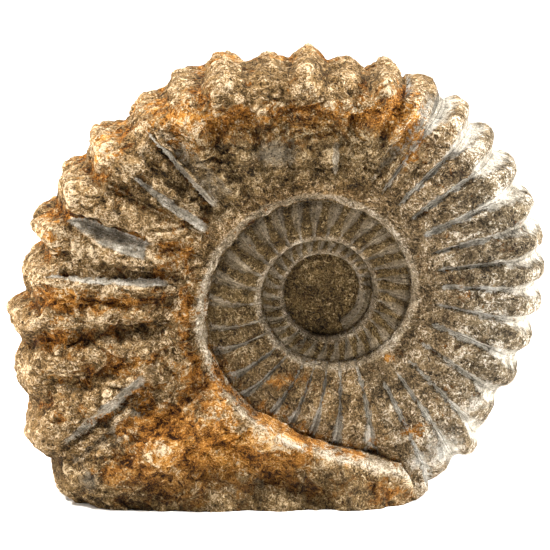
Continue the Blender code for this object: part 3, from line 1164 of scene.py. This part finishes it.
@dataclass(frozen=True)
class SandGrain:
    """The granular look that both finishes of the stone use, as one shader group."""

    texture: Texture = Texture(3.0, 0.6, 0.4)
    crumbly: Texture = Texture(3.0, 0.6, 1.6)
    curled: Texture = Texture(2.5, 0.6, 1.4)
    fine_share: float = 0.65
    spread: float = 3.2
    pit_edge: Span = (0.42, 0.3)
    pit_cell: Span = (0.7, 0.3)
    ridge: Span = (0.06, 0.0)
    crease_place: float = 0.41
    crease: Span = (0.035, 0.0)
    grain_height: float = 0.5
    wrinkle_height: float = 0.55
    pit_depth: float = 0.6

    def scales(self) -> dict[str, float]:
        """The named inputs of the group and their usual values, in turns a metre but for the contrast."""
        return {"Grain scale": 760.0, "Crumb scale": 260.0, "Wrinkle scale": 125.0, "Contrast": 1.0}

    def group(self) -> bpy.types.NodeTree:
        """Draws the group.

        Returns:
            A shader group that gives how worn each point of the sand grain is, its pits, its curled
            wrinkles, and its height for a bump.
        """
        sheet = Sheet(bpy.data.node_groups.new("sand_grain", "ShaderNodeTree"))
        sheet.offer(("Vector",), "Vector", "INPUT")
        sheet.offer(tuple(self.scales()), way="INPUT")
        sheet.offer(("Grain", "Pits", "Wrinkle", "Height"))
        for item in sheet.tree.interface.items_tree:
            if item.name in self.scales():
                item.default_value = self.scales()[item.name]
        given = sheet.add("NodeGroupInput").outputs
        vector = {"Vector": given["Vector"]}
        fine = sheet.noise(self.texture, {**vector, "Scale": given["Grain scale"]})
        crumb = sheet.noise(self.crumbly, {**vector, "Scale": given["Crumb scale"]})
        cells = sheet.add("ShaderNodeTexVoronoi", {**vector, "Scale": given["Crumb scale"]})
        both = sheet.total(sheet.product(fine, self.fine_share), sheet.product(crumb, 1 - self.fine_share))
        spread = sheet.product(sheet.less(both, 0.5), sheet.product(given["Contrast"], self.spread))
        grain = sheet.math("ADD", spread, 0.5, clamp=True)
        cell = sheet.remap(cells.outputs["Distance"], self.pit_cell)
        pits = sheet.product(sheet.remap(crumb, self.pit_edge), cell)
        wrinkle = self.wrinkle(sheet, sheet.noise(self.curled, {**vector, "Scale": given["Wrinkle scale"]}))
        height = sheet.total(
            sheet.product(grain, self.grain_height),
            sheet.product(wrinkle, self.wrinkle_height),
            sheet.product(pits, -self.pit_depth),
        )
        sheet.add("NodeGroupOutput", {"Grain": grain, "Pits": pits, "Wrinkle": wrinkle, "Height": height})
        return sheet.tree

    def wrinkle(self, sheet: Sheet, curls: Socket) -> Socket:
        """Curled wrinkles, 1 on a ridge and -1 in the crease beside it.

        Args:
            sheet: the node tree that is being drawn.
            curls: the noise whose middle line the wrinkles follow.

        Returns:
            The wrinkles, from -1 to 1.
        """
        ridge = sheet.remap(sheet.math("ABSOLUTE", sheet.less(curls, 0.5)), self.ridge)
        crease = sheet.remap(sheet.math("ABSOLUTE", sheet.less(curls, self.crease_place)), self.crease)
        return sheet.less(ridge, crease)


@dataclass(frozen=True)
class WeatheredStone:
    """Brown sandy limestone with rust stains, grey tooled grooves, pale rims and a dark inner coil, with
    painted shade in hollows, at groove bottoms and on parts of the front, and painted highlight on crests,
    groove sides and cut walls.
    """

    sand: Tones = Tones((0.014, 0.008, 0.002), (0.125, 0.07, 0.021), (0.37, 0.225, 0.09), (0.86, 0.665, 0.43))
    ashen: Tones = Tones(
        (0.018, 0.012, 0.006), (0.105, 0.073, 0.036), (0.31, 0.235, 0.14), (0.84, 0.77, 0.65)
    )
    rusty: Tones = Tones((0.04, 0.012, 0.001), (0.3, 0.105, 0.01), (0.62, 0.27, 0.04), (0.86, 0.57, 0.25))
    grey: Tones = Tones((0.03, 0.026, 0.02), (0.135, 0.118, 0.086), (0.34, 0.305, 0.24), (0.82, 0.77, 0.68))
    chalk_and_highlight: Tones = Tones((0.06, 0.05, 0.036), (0.3, 0.265, 0.205), (0.62, 0.57, 0.48), (0.93, 0.9, 0.83))
    pale: Tones = Tones((0.05, 0.038, 0.021), (0.23, 0.165, 0.09), (0.48, 0.372, 0.24), (0.86, 0.75, 0.59))
    dark: Tones = Tones((0.007, 0.004, 0.001), (0.06, 0.035, 0.01), (0.165, 0.103, 0.034), (0.44, 0.31, 0.15))
    # colour of the painted shade line at the bottom of each groove
    line: Colour = (0.02, 0.015, 0.01)
    roughness: float = 0.93
    sheen: float = 0.2
    bump: float = 0.0026
    bump_on_smooth: float = 0.3
    streak_bump: float = 0.7
    streak_texture: Texture = Texture(3.0, 0.65)
    streak_length: float = 30.0
    streak_width: float = 0.8
    smooth_share: float = 0.92
    dusk_on_smooth: float = 0.8
    has_groove: Span = (0.02, 0.06)
    groove_edge: Span = (1.1, 0.55)
    groove_rags: tuple[Clouds, ...] = (Clouds(330.0, 0.24), Clouds(90.0, 0.42))
    chisel_edge: Span = (0.25, 0.8)
    chisel_rags: tuple[Clouds, ...] = (Clouds(190.0, 0.9), Clouds(55.0, 0.9))
    rim_edge: Span = (0.25, 0.85)
    rim_share: float = 0.9
    rim_rags: tuple[Clouds, ...] = (Clouds(140.0, 0.9), Clouds(30.0, 0.6))
    lit_side_from: Span = (0.5, 0.7)
    lit_side_share: float = 0.95
    line_before: float = 0.01
    line_edge: Span = (0.04, 0.015)
    line_share: float = 0.8
    line_breaks: tuple[Clouds, ...] = (Clouds(90.0, 0.05),)
    line_dusk: Span = (0.3, 0.7)
    line_on_clean: float = 0.5
    rust_edge: Span = (0.42, 0.86)
    rust_share: float = 0.95
    rust_drift: tuple[Clouds, ...] = (Clouds(26.0, 1.3), Clouds(120.0, 2.6))
    rust_on_worn: float = -0.9
    rust_on_crest: float = -0.13
    rust_on_smooth: float = -0.25
    worn_grain: Span = (0.58, 0.36)
    worn_wrinkle: Span = (0.2, 0.04)
    worn_clouds: tuple[Clouds, ...] = (Clouds(13.0, 0.6),)
    worn_patches: Clouds = Clouds(60.0, 1.0)
    patches_on_ash: Span = (0.8, 1.4)
    worn_streak: float = 0.2
    # the next two paint shade into the hollows and highlight onto the crests
    relief_shade: float = 0.24
    crevice_shade: Span = (0.1, 0.0)
    crest_until: Span = (0.0, 0.7)
    worn_smooth: float = 0.06
    worn_pits: float = 0.35

    def material(self, grain: bpy.types.NodeTree) -> bpy.types.Material:
        """Draws the material.

        Args:
            grain: the shared group of the sand grain.

        Returns:
            The finish of the whole stone but its sawn foot.
        """
        finish = Finish("weathered_limestone")
        sheet, place = finish.sheet, finish.place
        sand = sheet.add("ShaderNodeGroup", {"Vector": place}, node_tree=grain).outputs
        smooth = self.tooled(sheet, place)
        streaks = self.streaks(sheet, place, smooth)
        lightness = self.lightness(sheet, place, sand, smooth, streaks)
        ashen = self.read(sheet, Mask.ASH_AND_HIGHLIGHT)
        colour = sheet.blend(ashen, self.sand.ramp(sheet, lightness), self.ashen.ramp(sheet, lightness))
        # bare stone turns chalk-pale where it is ash, and where a groove side or cut wall has a painted
        # highlight
        ash_and_highlight = sheet.math("MAXIMUM", ashen, self.lit_side_highlight(sheet))
        bare = sheet.blend(ash_and_highlight, self.grey.ramp(sheet, lightness), self.chalk_and_highlight.ramp(sheet, lightness))
        colour = sheet.blend(sheet.product(smooth, self.smooth_share), colour, bare)
        colour = sheet.blend(self.rimmed(sheet, place), colour, self.pale.ramp(sheet, lightness))
        colour = sheet.blend(self.stained(sheet, place, lightness, smooth), colour, self.rusty.ramp(sheet, lightness))
        # darkening of the inner coil, its patina partly painted shade, and painted shade on the front
        dusk = self.by_smooth(sheet, smooth, (1.0, self.dusk_on_smooth))
        dusk = sheet.product(self.read(sheet, Mask.PATINA_AND_SHADE), dusk)
        colour = sheet.blend(dusk, colour, self.dark.ramp(sheet, lightness))
        # painted shade line at the bottom of each groove
        colour = sheet.blend(self.groove_shade_line(sheet, place), colour, self.line)
        height = sheet.product(sand["Height"], self.by_smooth(sheet, smooth, (1.0, self.bump_on_smooth)))
        height = sheet.total(height, sheet.product(streaks, self.streak_bump))
        return finish.complete(colour, height, self.bump, self.roughness, self.sheen)

    def read(self, sheet: Sheet, mask: Mask) -> Socket:
        """Reads one of the stone's masks."""
        return sheet.add("ShaderNodeAttribute", attribute_name=mask.value).outputs["Fac"]

    def ragged(self, sheet: Sheet, place: Socket, value: Socket, clouds: tuple[Clouds, ...]) -> Socket:
        """Adds some clouds to a value, which makes its edges ragged."""
        return sheet.total(value, *(cloud.about_zero(sheet, place) for cloud in clouds))

    def by_smooth(self, sheet: Sheet, smooth: Socket, values: Span) -> Socket:
        """Goes from a value on the rough rock to another on the smooth tooled stone."""
        return sheet.remap(smooth, (0.0, 1.0), values)

    def grooved(self, sheet: Sheet) -> Socket:
        """1 where the ribs have smooth grooves between them, and 0 where weathering has taken them."""
        return sheet.remap(self.read(sheet, Mask.WEDGE), self.has_groove)

    def tooled(self, sheet: Sheet, place: Socket) -> Socket:
        """Mask of the smooth grey stone: the grooves between the ribs, the cuts and the facets.

        Args:
            sheet: the node tree that is being drawn.
            place: the point in the object's frame.

        Returns:
            0 on the rock and 1 on smooth stone.
        """
        width = self.read(sheet, Mask.WEDGE)
        off_groove = sheet.math("PINGPONG", self.read(sheet, Mask.RIB_COUNT), 0.5)
        edges = tuple(sheet.product(width, share) for share in self.groove_edge)
        groove = sheet.remap(self.ragged(sheet, place, off_groove, self.groove_rags), edges)
        chisel = self.ragged(sheet, place, self.read(sheet, Mask.CHISEL), self.chisel_rags)
        groove = sheet.product(groove, self.grooved(sheet))
        return sheet.math("MAXIMUM", groove, sheet.remap(chisel, self.chisel_edge))

    def lit_side_highlight(self, sheet: Sheet) -> Socket:
        """Mask of the painted highlight on one side of each groove, the one that is met first along the coil.
        """
        step = sheet.math("FRACT", self.read(sheet, Mask.RIB_COUNT))
        return sheet.product(sheet.remap(step, self.lit_side_from, (0.0, self.lit_side_share)), self.grooved(sheet))

    def groove_shade_line(self, sheet: Sheet, place: Socket) -> Socket:
        """Mask of the thin line of painted shade at the bottom of each groove, weaker where the stone is dark
        anyway.

        Args:
            sheet: the node tree that is being drawn.
            place: the point in the object's frame.

        Returns:
            0 off the line and up to 0.4 on it.
        """
        beyond = sheet.math("FRACT", sheet.total(self.read(sheet, Mask.RIB_COUNT), self.line_before))
        beyond = self.ragged(sheet, place, beyond, self.line_breaks)
        line = sheet.remap(beyond, self.line_edge, (0.0, self.line_share))
        clean = sheet.remap(self.read(sheet, Mask.PATINA_AND_SHADE), self.line_dusk, (self.line_on_clean, 0.0))
        return sheet.product(line, self.grooved(sheet), clean)

    def streaks(self, sheet: Sheet, place: Socket, smooth: Socket) -> Socket:
        """Height of the fibrous tool marks along the cuts, the grooves and the hollow middle's wall.

        Args:
            sheet: the node tree that is being drawn.
            place: the point in the object's frame.
            smooth: mask of the tooled stone.

        Returns:
            The height, about 0.
        """
        parts = sheet.add("ShaderNodeSeparateXYZ", {0: place}).outputs
        along_y, along_z = (sheet.product(parts[axis], self.streak_length) for axis in ("Y", "Z"))
        across = sheet.product(self.read(sheet, Mask.STREAK), self.streak_width)
        vector = sheet.add("ShaderNodeCombineXYZ", {0: across, 1: along_y, 2: along_z}).outputs[0]
        fibres = sheet.less(sheet.noise(self.streak_texture, {"Vector": vector, "Scale": 1.0}), 0.5)
        strength = sheet.math("MAXIMUM", smooth, self.read(sheet, Mask.FIBRE))
        return sheet.product(fibres, 2.0, strength)

    def rimmed(self, sheet: Sheet, place: Socket) -> Socket:
        """Mask of the pale rim along the seams."""
        ragged = self.ragged(sheet, place, self.read(sheet, Mask.RIM), self.rim_rags)
        return sheet.product(sheet.remap(ragged, self.rim_edge), self.rim_share)

    def stained(self, sheet: Sheet, place: Socket, lightness: Socket, smooth: Socket) -> Socket:
        """Mask of the rust, strongest in the pits and hollows.

        Args:
            sheet: the node tree that is being drawn.
            place: the point in the object's frame.
            lightness: how light each point's tone is, from 0 to 1, with its painted shade and highlight.
            smooth: mask of the tooled stone.

        Returns:
            0 on clean stone and up to 0.95 in the rust.
        """
        drift = sheet.total(
            self.ragged(sheet, place, self.read(sheet, Mask.RUST), self.rust_drift),
            sheet.product(sheet.less(lightness, 0.5), self.rust_on_worn),
            sheet.product(self.read(sheet, Mask.CREVICE), self.rust_on_crest),
            sheet.product(smooth, self.rust_on_smooth),
        )
        return sheet.product(sheet.remap(drift, self.rust_edge), self.rust_share)

    def lightness(self, sheet: Sheet, place: Socket, sand: Outputs, smooth: Socket, streaks: Socket) -> Socket:
        """How light each point's tone is, with painted shade in the hollows and painted highlight on the
        crests.

        Args:
            sheet: the material's node tree.
            place: the point in the object's frame.
            sand: outputs of the sand grain.
            smooth: mask of the tooled stone.
            streaks: height of the tool marks.

        Returns:
            0 in the darkest hollows and 1 on the palest crests of grains, crumbs and ribs; the hollows of
            rock and ribs are partly painted shade, their crests partly painted highlight.
        """
        on_ash = sheet.remap(self.read(sheet, Mask.ASH_AND_HIGHLIGHT), (0.0, 1.0), self.patches_on_ash)
        crevice_shade_share = sheet.remap(smooth, self.crest_until, self.crevice_shade)
        total = sheet.total(
            self.ragged(sheet, place, 0.5, self.worn_clouds),
            sheet.product(sheet.less(sand["Grain"], 0.5), self.by_smooth(sheet, smooth, self.worn_grain)),
            sheet.product(sand["Wrinkle"], self.by_smooth(sheet, smooth, self.worn_wrinkle)),
            sheet.product(self.worn_patches.about_zero(sheet, place), on_ash),
            sheet.product(streaks, self.worn_streak),
            # painted shade in the rock's small hollows and painted highlight on its small crests
            sheet.product(self.read(sheet, Mask.RELIEF), self.relief_shade),
            # painted shade between the ribs and painted highlight on their crests, fading out on tooled stone
            sheet.product(self.read(sheet, Mask.CREVICE), crevice_shade_share),
            sheet.product(smooth, self.worn_smooth),
        )
        return sheet.math("SUBTRACT", total, sheet.product(sand["Pits"], self.worn_pits), clamp=True)


@dataclass(frozen=True)
class SawnStone:
    """The flat cut under the foot: even grey-brown stone with the saw's arcs on it."""

    tones: Tones = Tones((0.06, 0.048, 0.032), (0.21, 0.165, 0.11), (0.34, 0.28, 0.20), (0.55, 0.48, 0.37))
    grain_scale: float = 600.0
    crumb_scale: float = 260.0
    contrast: float = 0.7
    blade_centre: Place = (0.45, 0.3, 0.0)
    arc_scale: float = 130.0
    arc_wobble: float = 1.5
    arc_detail: float = 2.0
    worn_grain: float = 0.7
    worn_arcs: float = 0.2
    roughness: float = 0.8
    sheen: float = 0.5
    bump: float = 0.0003

    def material(self, grain: bpy.types.NodeTree) -> bpy.types.Material:
        """Draws the material.

        Args:
            grain: the shared group of the sand grain.

        Returns:
            The finish of the sawn foot.
        """
        finish = Finish("sawn_limestone")
        sheet, place = finish.sheet, finish.place
        scales = {"Grain scale": self.grain_scale, "Crumb scale": self.crumb_scale, "Contrast": self.contrast}
        sand = sheet.add("ShaderNodeGroup", {"Vector": place, **scales}, node_tree=grain).outputs
        centred = sheet.add("ShaderNodeMapping", {"Vector": place, "Location": self.blade_centre}).outputs[0]
        wave = {"Scale": self.arc_scale, "Distortion": self.arc_wobble, "Detail": self.arc_detail}
        rings = {"wave_type": "RINGS", "rings_direction": "Z"}
        arcs = sheet.add("ShaderNodeTexWave", {"Vector": centred, **wave}, **rings).outputs["Fac"]
        lightness = sheet.total(sheet.product(sand["Grain"], self.worn_grain), sheet.product(arcs, self.worn_arcs))
        height = sheet.total(sand["Height"], arcs)
        return finish.complete(self.tones.ramp(sheet, lightness), height, self.bump, self.roughness, self.sheen)


@dataclass(frozen=True)
class Stone:
    """The whole ammonite, from the smooth coil to the finished mesh, in mm."""

    coil: Coil = field(default_factory=Coil)
    ribs: Ribs = field(default_factory=Ribs)
    marks: FrontMarks = field(default_factory=FrontMarks)
    ageing: Ageing = field(default_factory=Ageing)
    weathering: Weathering = field(default_factory=Weathering)
    edge_from: float = 0.8
    edge_depth_share: float = 0.6
    front_from: Span = (5, 25)
    lump_size: float = 21.0
    lump_height: float = 3.2
    lump_octaves: int = 3
    small_lump_size: float = 9.0
    small_lump_height: float = 1.5
    lumps_inside: float = 0.15
    lumps_outside: float = 0.35
    more_lumps: tuple[Area, ...] = (Area(0.65, starts=(50, 120)),)
    lumps_from_radius: Span = (20, 60)
    rim_height: Curve = (
        (-720, 0.8), (-360, 1.2), (0, 1.8), (170, 2), (210, 4.5), (250, 7), (285, 6), (294, 3),
    )
    rim_place: Curve = ((-720, 3), (-360, 4), (0, 5), (180, 7), (250, 11), (294, 12))
    rim_width_share: float = 0.7
    in_groove: Span = (1.1, 0.7)
    least_wedge: float = 0.01
    streaks_per_rib: float = 12.0
    tooled_keeps: float = 0.15
    rim_keeps: float = 0.3
    rim_undarkened: float = 0.9
    angle_steps: int = 1200
    section_steps: int = 480
    triangles: int = 205000

    def build(self) -> bpy.types.Object:
        """Builds and dresses the stone.

        Returns:
            The finished object, at the origin, with its place in its mesh.
        """
        grain = SandGrain().group()
        weathered = self.weathered(self.smooth_skin(), WeatheredStone().material(grain))
        mesh = self.cut(self.thinned(weathered))
        mesh.materials.append(SawnStone().material(grain))
        mesh.shade_smooth()
        self.keep_inside(mesh)
        stone = bpy.data.objects.new("ammonite_stone", mesh)
        bpy.context.scene.collection.objects.link(stone)
        return stone

    def smooth_skin(self) -> bpy.types.Mesh:
        """Builds the coil's grid with everything that the weathering and the finish read from its points.

        Returns:
            A closed mesh in metres, with one attribute for each value that is read later.
        """
        angles, radius, depth = self.coil.sections(self.angle_steps, self.section_steps)
        around = np.radians(angles)[:, None]
        grid = np.stack([radius * np.cos(around), -depth, radius * np.sin(around)], axis=2)
        mesh = self.closed_mesh(grid)
        for name, values in self.attributes(self.points(angles[:, None], radius, depth, grid), grid).items():
            attribute = mesh.attributes.new(name, "FLOAT", "POINT")
            attribute.data.foreach_set("value", self.point_values(values).astype(np.float32))
        return mesh

    def point_values(self, values: Array) -> Array:
        """Lays a grid of values out in the order of the mesh's points: the rings, then the two middles."""
        rings = values[:, 1:-1].T.reshape(-1)
        return np.concatenate([rings, [values[:, 0].mean(), values[:, -1].mean()]])

    def closed_mesh(self, grid: Array) -> bpy.types.Mesh:
        """Makes a closed mesh of a grid.

        Args:
            grid: points in mm from the axis, one row a section.

        Returns:
            A mesh of quads with a fan of triangles round the middle of each side, facing out.
        """
        points = np.stack([self.point_values(grid[:, :, k]) for k in range(3)], axis=1)
        points = (points + self.coil.axis) * MM
        steps, rings = grid.shape[0], grid.shape[1] - 2
        corner = np.arange(rings * steps).reshape(rings, steps)
        ahead = np.roll(corner, -1, axis=1)
        quads = np.stack([corner[:-1], corner[1:], ahead[1:], ahead[:-1]], axis=2).reshape(-1, 4)
        front = np.stack([np.full(steps, rings * steps), corner[0], ahead[0]], axis=1)
        back = np.stack([np.full(steps, rings * steps + 1), ahead[-1], corner[-1]], axis=1)
        mesh = bpy.data.meshes.new("skin")
        mesh.from_pydata(points.tolist(), [], quads.tolist() + front.tolist() + back.tolist())
        mesh.update()
        return mesh

    def points(self, angle: Array, radius: Array, depth: Array, grid: Array) -> Points:
        """Works out where each point of the grid is on the coil.

        Args:
            angle: angle of each section, as a column.
            radius: distance of each point from the axis.
            depth: signed depth of each point from the middle plane.
            grid: the points in mm from the axis.

        Returns:
            The points as the ribs, the marks and the ageing need them.
        """
        coil = self.coil
        _, turned = coil.side(angle, radius)
        seam = along(coil.seam, turned)
        last = turned > coil.end - TURN
        reach = np.where(last, along(coil.outline, angle), along(coil.seam, turned + TURN))
        across = ((radius - seam) / (reach - seam).clip(1)).clip(0, 1)
        off_middle = np.abs(depth) / (self.edge_depth_share * coil.half_thickness(angle))
        return Points(
            x=grid[:, :, 0],
            z=grid[:, :, 2],
            radius=radius,
            depth=depth,
            turned=turned,
            across=across,
            off_seam=radius - seam,
            on_edge=ramp((1, 0), off_middle) * (across > self.edge_from),
            front=ramp(self.front_from, depth),
            last=last,
            core=turned < -(coil.turns_beneath + 0.5) * TURN,
        )

    def attributes(self, at: Points, grid: Array) -> dict[str, Array]:
        """Works out what the weathering and the finish need to know at each point.

        Args:
            at: the points of the grid.
            grid: the same points in mm from the axis.

        Returns:
            Attribute names and their values, one row a section.
        """
        ribs, marks, ageing = self.ribs, self.marks, self.ageing
        knobs = ribs.knob_rise(at) + ribs.shoulder_step(at) * at.last
        chisel = marks.chisel(at)
        wedge = ribs.wedge(at) * ~at.core
        count = ribs.count(at)
        off_groove = np.abs((count + 0.5) % 1 - 0.5)
        in_groove = ramp(self.in_groove, off_groove / wedge.clip(self.least_wedge))
        rim = ageing.rim(at)
        tooled = np.maximum(chisel, in_groove).clip(0, 1)
        rock_left = (1 - (1 - self.tooled_keeps) * tooled) * (1 - (1 - self.rim_keeps) * rim)
        across_tool = np.where(in_groove > 0, count * self.streaks_per_rib, at.off_seam)
        return {
            "form": np.where(at.core, 0, self.rim_rise(at) + knobs) + self.lumps(at, grid) + marks.rise(at),
            "rib_height": np.where(at.core, 0, ribs.height(at)),
            "rib_fullness": ribs.fullness(at),
            Mask.RIB_COUNT.value: count,
            Mask.WEDGE.value: wedge,
            Mask.CHISEL.value: chisel,
            Mask.STREAK.value: marks.streak(at, across_tool),
            Mask.FIBRE.value: ageing.fibre(at),
            Mask.RIM.value: rim,
            Mask.RUST.value: marks.rust(at) + ageing.rust(at),
            # patina and painted shade, kept off the pale rims
            Mask.PATINA_AND_SHADE.value: ageing.patina_and_shade(at) * (1 - self.rim_undarkened * rim),
            # greyer ash of the stone, raised by the painted highlights of the cut walls
            Mask.ASH_AND_HIGHLIGHT.value: np.maximum(ageing.ash(at), marks.lit_wall_highlight(at)),
            Mask.GRAIN.value: ageing.rock(at) * rock_left,
        }

    def rim_rise(self, at: Points) -> Array:
        """Rise of the rounded rim just outside each seam in mm.

        Args:
            at: the points of the grid.

        Returns:
            The rise in mm.
        """
        place = along(self.rim_place, at.turned)
        away = (at.off_seam - place) / (self.rim_width_share * place)
        return along(self.rim_height, at.turned) * bell(away)

    def lumps(self, at: Points, grid: Array) -> Array:
        """Rise of the rock's own lumps in mm, less on the smoother whorls and none in the middle.

        Args:
            at: the points of the grid.
            grid: the same points in mm from the axis.

        Returns:
            The rise in mm.
        """
        rise = np.empty(grid.shape[:2])
        flat = rise.reshape(-1)
        for i, point in enumerate(grid.reshape(-1, 3)):
            place = Vector(point)
            coarse = noise.fractal(place / self.lump_size, 1.0, 2.0, self.lump_octaves)
            small = noise.noise(place / self.small_lump_size)
            flat[i] = self.lump_height * coarse + self.small_lump_height * small
        share = np.where(at.last, summed(self.lumps_outside, self.more_lumps, at), self.lumps_inside)
        return rise * share * ramp(self.lumps_from_radius, at.radius)

    def weathered(self, skin: bpy.types.Mesh, material: bpy.types.Material) -> bpy.types.Mesh:
        """Runs the skin through the Geometry Nodes tree.

        Args:
            skin: the smooth grid with its attributes.
            material: the finish that the tree sets.

        Returns:
            A plain mesh of the ribbed and weathered skin.
        """
        holder = bpy.data.objects.new("skin", skin)
        bpy.context.scene.collection.objects.link(holder)
        tree = self.weathering.tree()
        modifier = holder.modifiers.new("weathering", "NODES")
        modifier.node_group = tree
        values = {**self.weathering.sizes(), "Material": material}
        for item in tree.interface.items_tree:
            if item.in_out == "INPUT" and item.name in values:
                modifier[item.identifier] = values[item.name]
        return self.evaluated(holder)

    def thinned(self, skin: bpy.types.Mesh) -> bpy.types.Mesh:
        """Thins the skin where it is flat, to the triangles that the stone may have.

        Args:
            skin: the mesh of the skin.

        Returns:
            The thinned mesh.
        """
        skin.calc_loop_triangles()
        holder = bpy.data.objects.new("skin", skin)
        bpy.context.scene.collection.objects.link(holder)
        thin = holder.modifiers.new("thin", "DECIMATE")
        thin.ratio = self.triangles / len(skin.loop_triangles)
        return self.evaluated(holder)

    def evaluated(self, holder: bpy.types.Object) -> bpy.types.Mesh:
        """Takes the plain mesh that an object's modifiers make, and removes the modifiers and the object.

        Args:
            holder: the object that carries the modifiers.

        Returns:
            The plain mesh.
        """
        graph = bpy.context.evaluated_depsgraph_get()
        mesh = bpy.data.meshes.new_from_object(holder.evaluated_get(graph))
        holder.modifiers.clear()
        bpy.data.objects.remove(holder)
        return mesh

    def cut(self, skin: bpy.types.Mesh) -> bpy.types.Mesh:
        """Saws the stone off flat at Z 0 and closes the cut with the second finish's faces.

        Args:
            skin: the mesh of the skin.

        Returns:
            The same mesh with a flat foot.
        """
        mesh = bmesh.new()
        mesh.from_mesh(skin)
        everything = list(mesh.verts) + list(mesh.edges) + list(mesh.faces)
        sawn = bmesh.ops.bisect_plane(
            mesh, geom=everything, dist=1e-6, plane_co=(0, 0, 0), plane_no=(0, 0, -1), clear_outer=True
        )
        edges = [item for item in sawn["geom_cut"] if isinstance(item, bmesh.types.BMEdge)]
        foot = bmesh.ops.holes_fill(mesh, edges=edges, sides=0)["faces"]
        for face in bmesh.ops.triangulate(mesh, faces=foot)["faces"]:
            face.material_index = 1
            face.smooth = False
        mesh.to_mesh(skin)
        mesh.free()
        return skin

    def keep_inside(self, mesh: bpy.types.Mesh) -> None:
        """Holds every point inside the box of the solid that the stone stands for.

        Args:
            mesh: the finished mesh, which is changed in place.
        """
        low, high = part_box(NODE)
        points = np.empty(len(mesh.vertices) * 3)
        mesh.vertices.foreach_get("co", points)
        points = np.clip(points.reshape(-1, 3), low, high)
        mesh.vertices.foreach_set("co", points.reshape(-1))
        mesh.update()


@dataclass(frozen=True)
class Lamp:
    """One square soft light: its place, aim and side in metres, its power in watts and its colour."""

    name: str
    place: Place
    aim: Place
    size: float
    power: float
    colour: Colour = (1.0, 1.0, 1.0)

    def hang(self) -> None:
        """Hangs the light."""
        data = bpy.data.lights.new(self.name, "AREA")
        data.shape, data.size, data.energy, data.color = "SQUARE", self.size, self.power, self.colour
        lamp = bpy.data.objects.new(self.name, data)
        lamp.location = self.place
        towards = Vector(self.aim) - Vector(self.place)
        lamp.rotation_mode = "QUATERNION"
        lamp.rotation_quaternion = towards.to_track_quat("-Z", "Y")
        bpy.context.scene.collection.objects.link(lamp)


@dataclass(frozen=True)
class Studio:
    """A pale floor, soft light and the photograph's camera, in metres."""

    aim: Place = (0.0, 0.0, 0.1665)
    elevation: float = 12.5
    distance: float = 3.0
    width_seen: float = 0.4125
    sensor: float = 36.0
    floor_size: float = 12.0
    floor_tone: float = 0.93
    floor_roughness: float = 0.7
    world_strength: float = 0.06
    lamps: tuple[Lamp, ...] = (
        Lamp("key", (-1.35, -0.4, 1.95), aim, 0.45, 95.0, (1.0, 0.97, 0.93)),
        Lamp("left_edge", (-1.6, 0.0, 0.4), aim, 0.4, 21.0, (1.0, 0.92, 0.82)),
        Lamp("right_edge", (1.6, -0.05, 0.8), aim, 0.5, 70.0),
        Lamp("top", (0.4, 0.0, 2.2), aim, 0.6, 52.0),
        Lamp("backdrop", (0.0, 2.6, 2.0), (0.0, 2.4, 0.0), 2.5, 75.0),
    )

    def build(self) -> None:
        """Builds the floor, the lights, the world and the camera."""
        self.floor()
        self.world()
        for lamp in self.lamps:
            lamp.hang()
        self.camera()

    def floor(self) -> None:
        """Lays the plain pale floor."""
        half = self.floor_size / 2
        mesh = bpy.data.meshes.new("floor")
        corners = [(-half, -half, 0), (half, -half, 0), (half, half, 0), (-half, half, 0)]
        mesh.from_pydata(corners, [], [(0, 1, 2, 3)])
        material = bpy.data.materials.new("pale_floor")
        material.use_nodes = True
        shader = material.node_tree.nodes["Principled BSDF"]
        shader.inputs["Base Color"].default_value = (self.floor_tone, self.floor_tone, self.floor_tone, 1)
        shader.inputs["Roughness"].default_value = self.floor_roughness
        mesh.materials.append(material)
        floor = bpy.data.objects.new("floor", mesh)
        bpy.context.scene.collection.objects.link(floor)

    def world(self) -> None:
        """Sets an even white world."""
        world = bpy.data.worlds.new("studio")
        world.use_nodes = True
        background = world.node_tree.nodes["Background"]
        background.inputs["Color"].default_value = (1, 1, 1, 1)
        background.inputs["Strength"].default_value = self.world_strength
        bpy.context.scene.world = world
        bpy.context.scene.view_settings.view_transform = "Standard"

    def camera(self) -> None:
        """Sets the camera at the photograph's angle."""
        tilt = math.radians(self.elevation)
        back = Vector((0, -math.cos(tilt), math.sin(tilt)))
        data = bpy.data.cameras.new("camera")
        data.sensor_width = self.sensor
        data.lens = self.sensor * self.distance / self.width_seen
        camera = bpy.data.objects.new("camera", data)
        camera.location = Vector(self.aim) + back * self.distance
        camera.rotation_mode = "QUATERNION"
        camera.rotation_quaternion = (-back).to_track_quat("-Z", "Y")
        bpy.context.scene.collection.objects.link(camera)
        bpy.context.scene.camera = camera


def main() -> None:
    """Builds the studio and the stone."""
    logging.basicConfig(level=logging.INFO, format="%(name)s: %(message)s")
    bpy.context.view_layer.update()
    Studio().build()
    stone = Stone().build()
    log.info("%s: %d faces", stone.name, len(stone.data.polygons))
    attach(stone, "root")
    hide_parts(NODE)


if __name__ == "__main__":
    main()
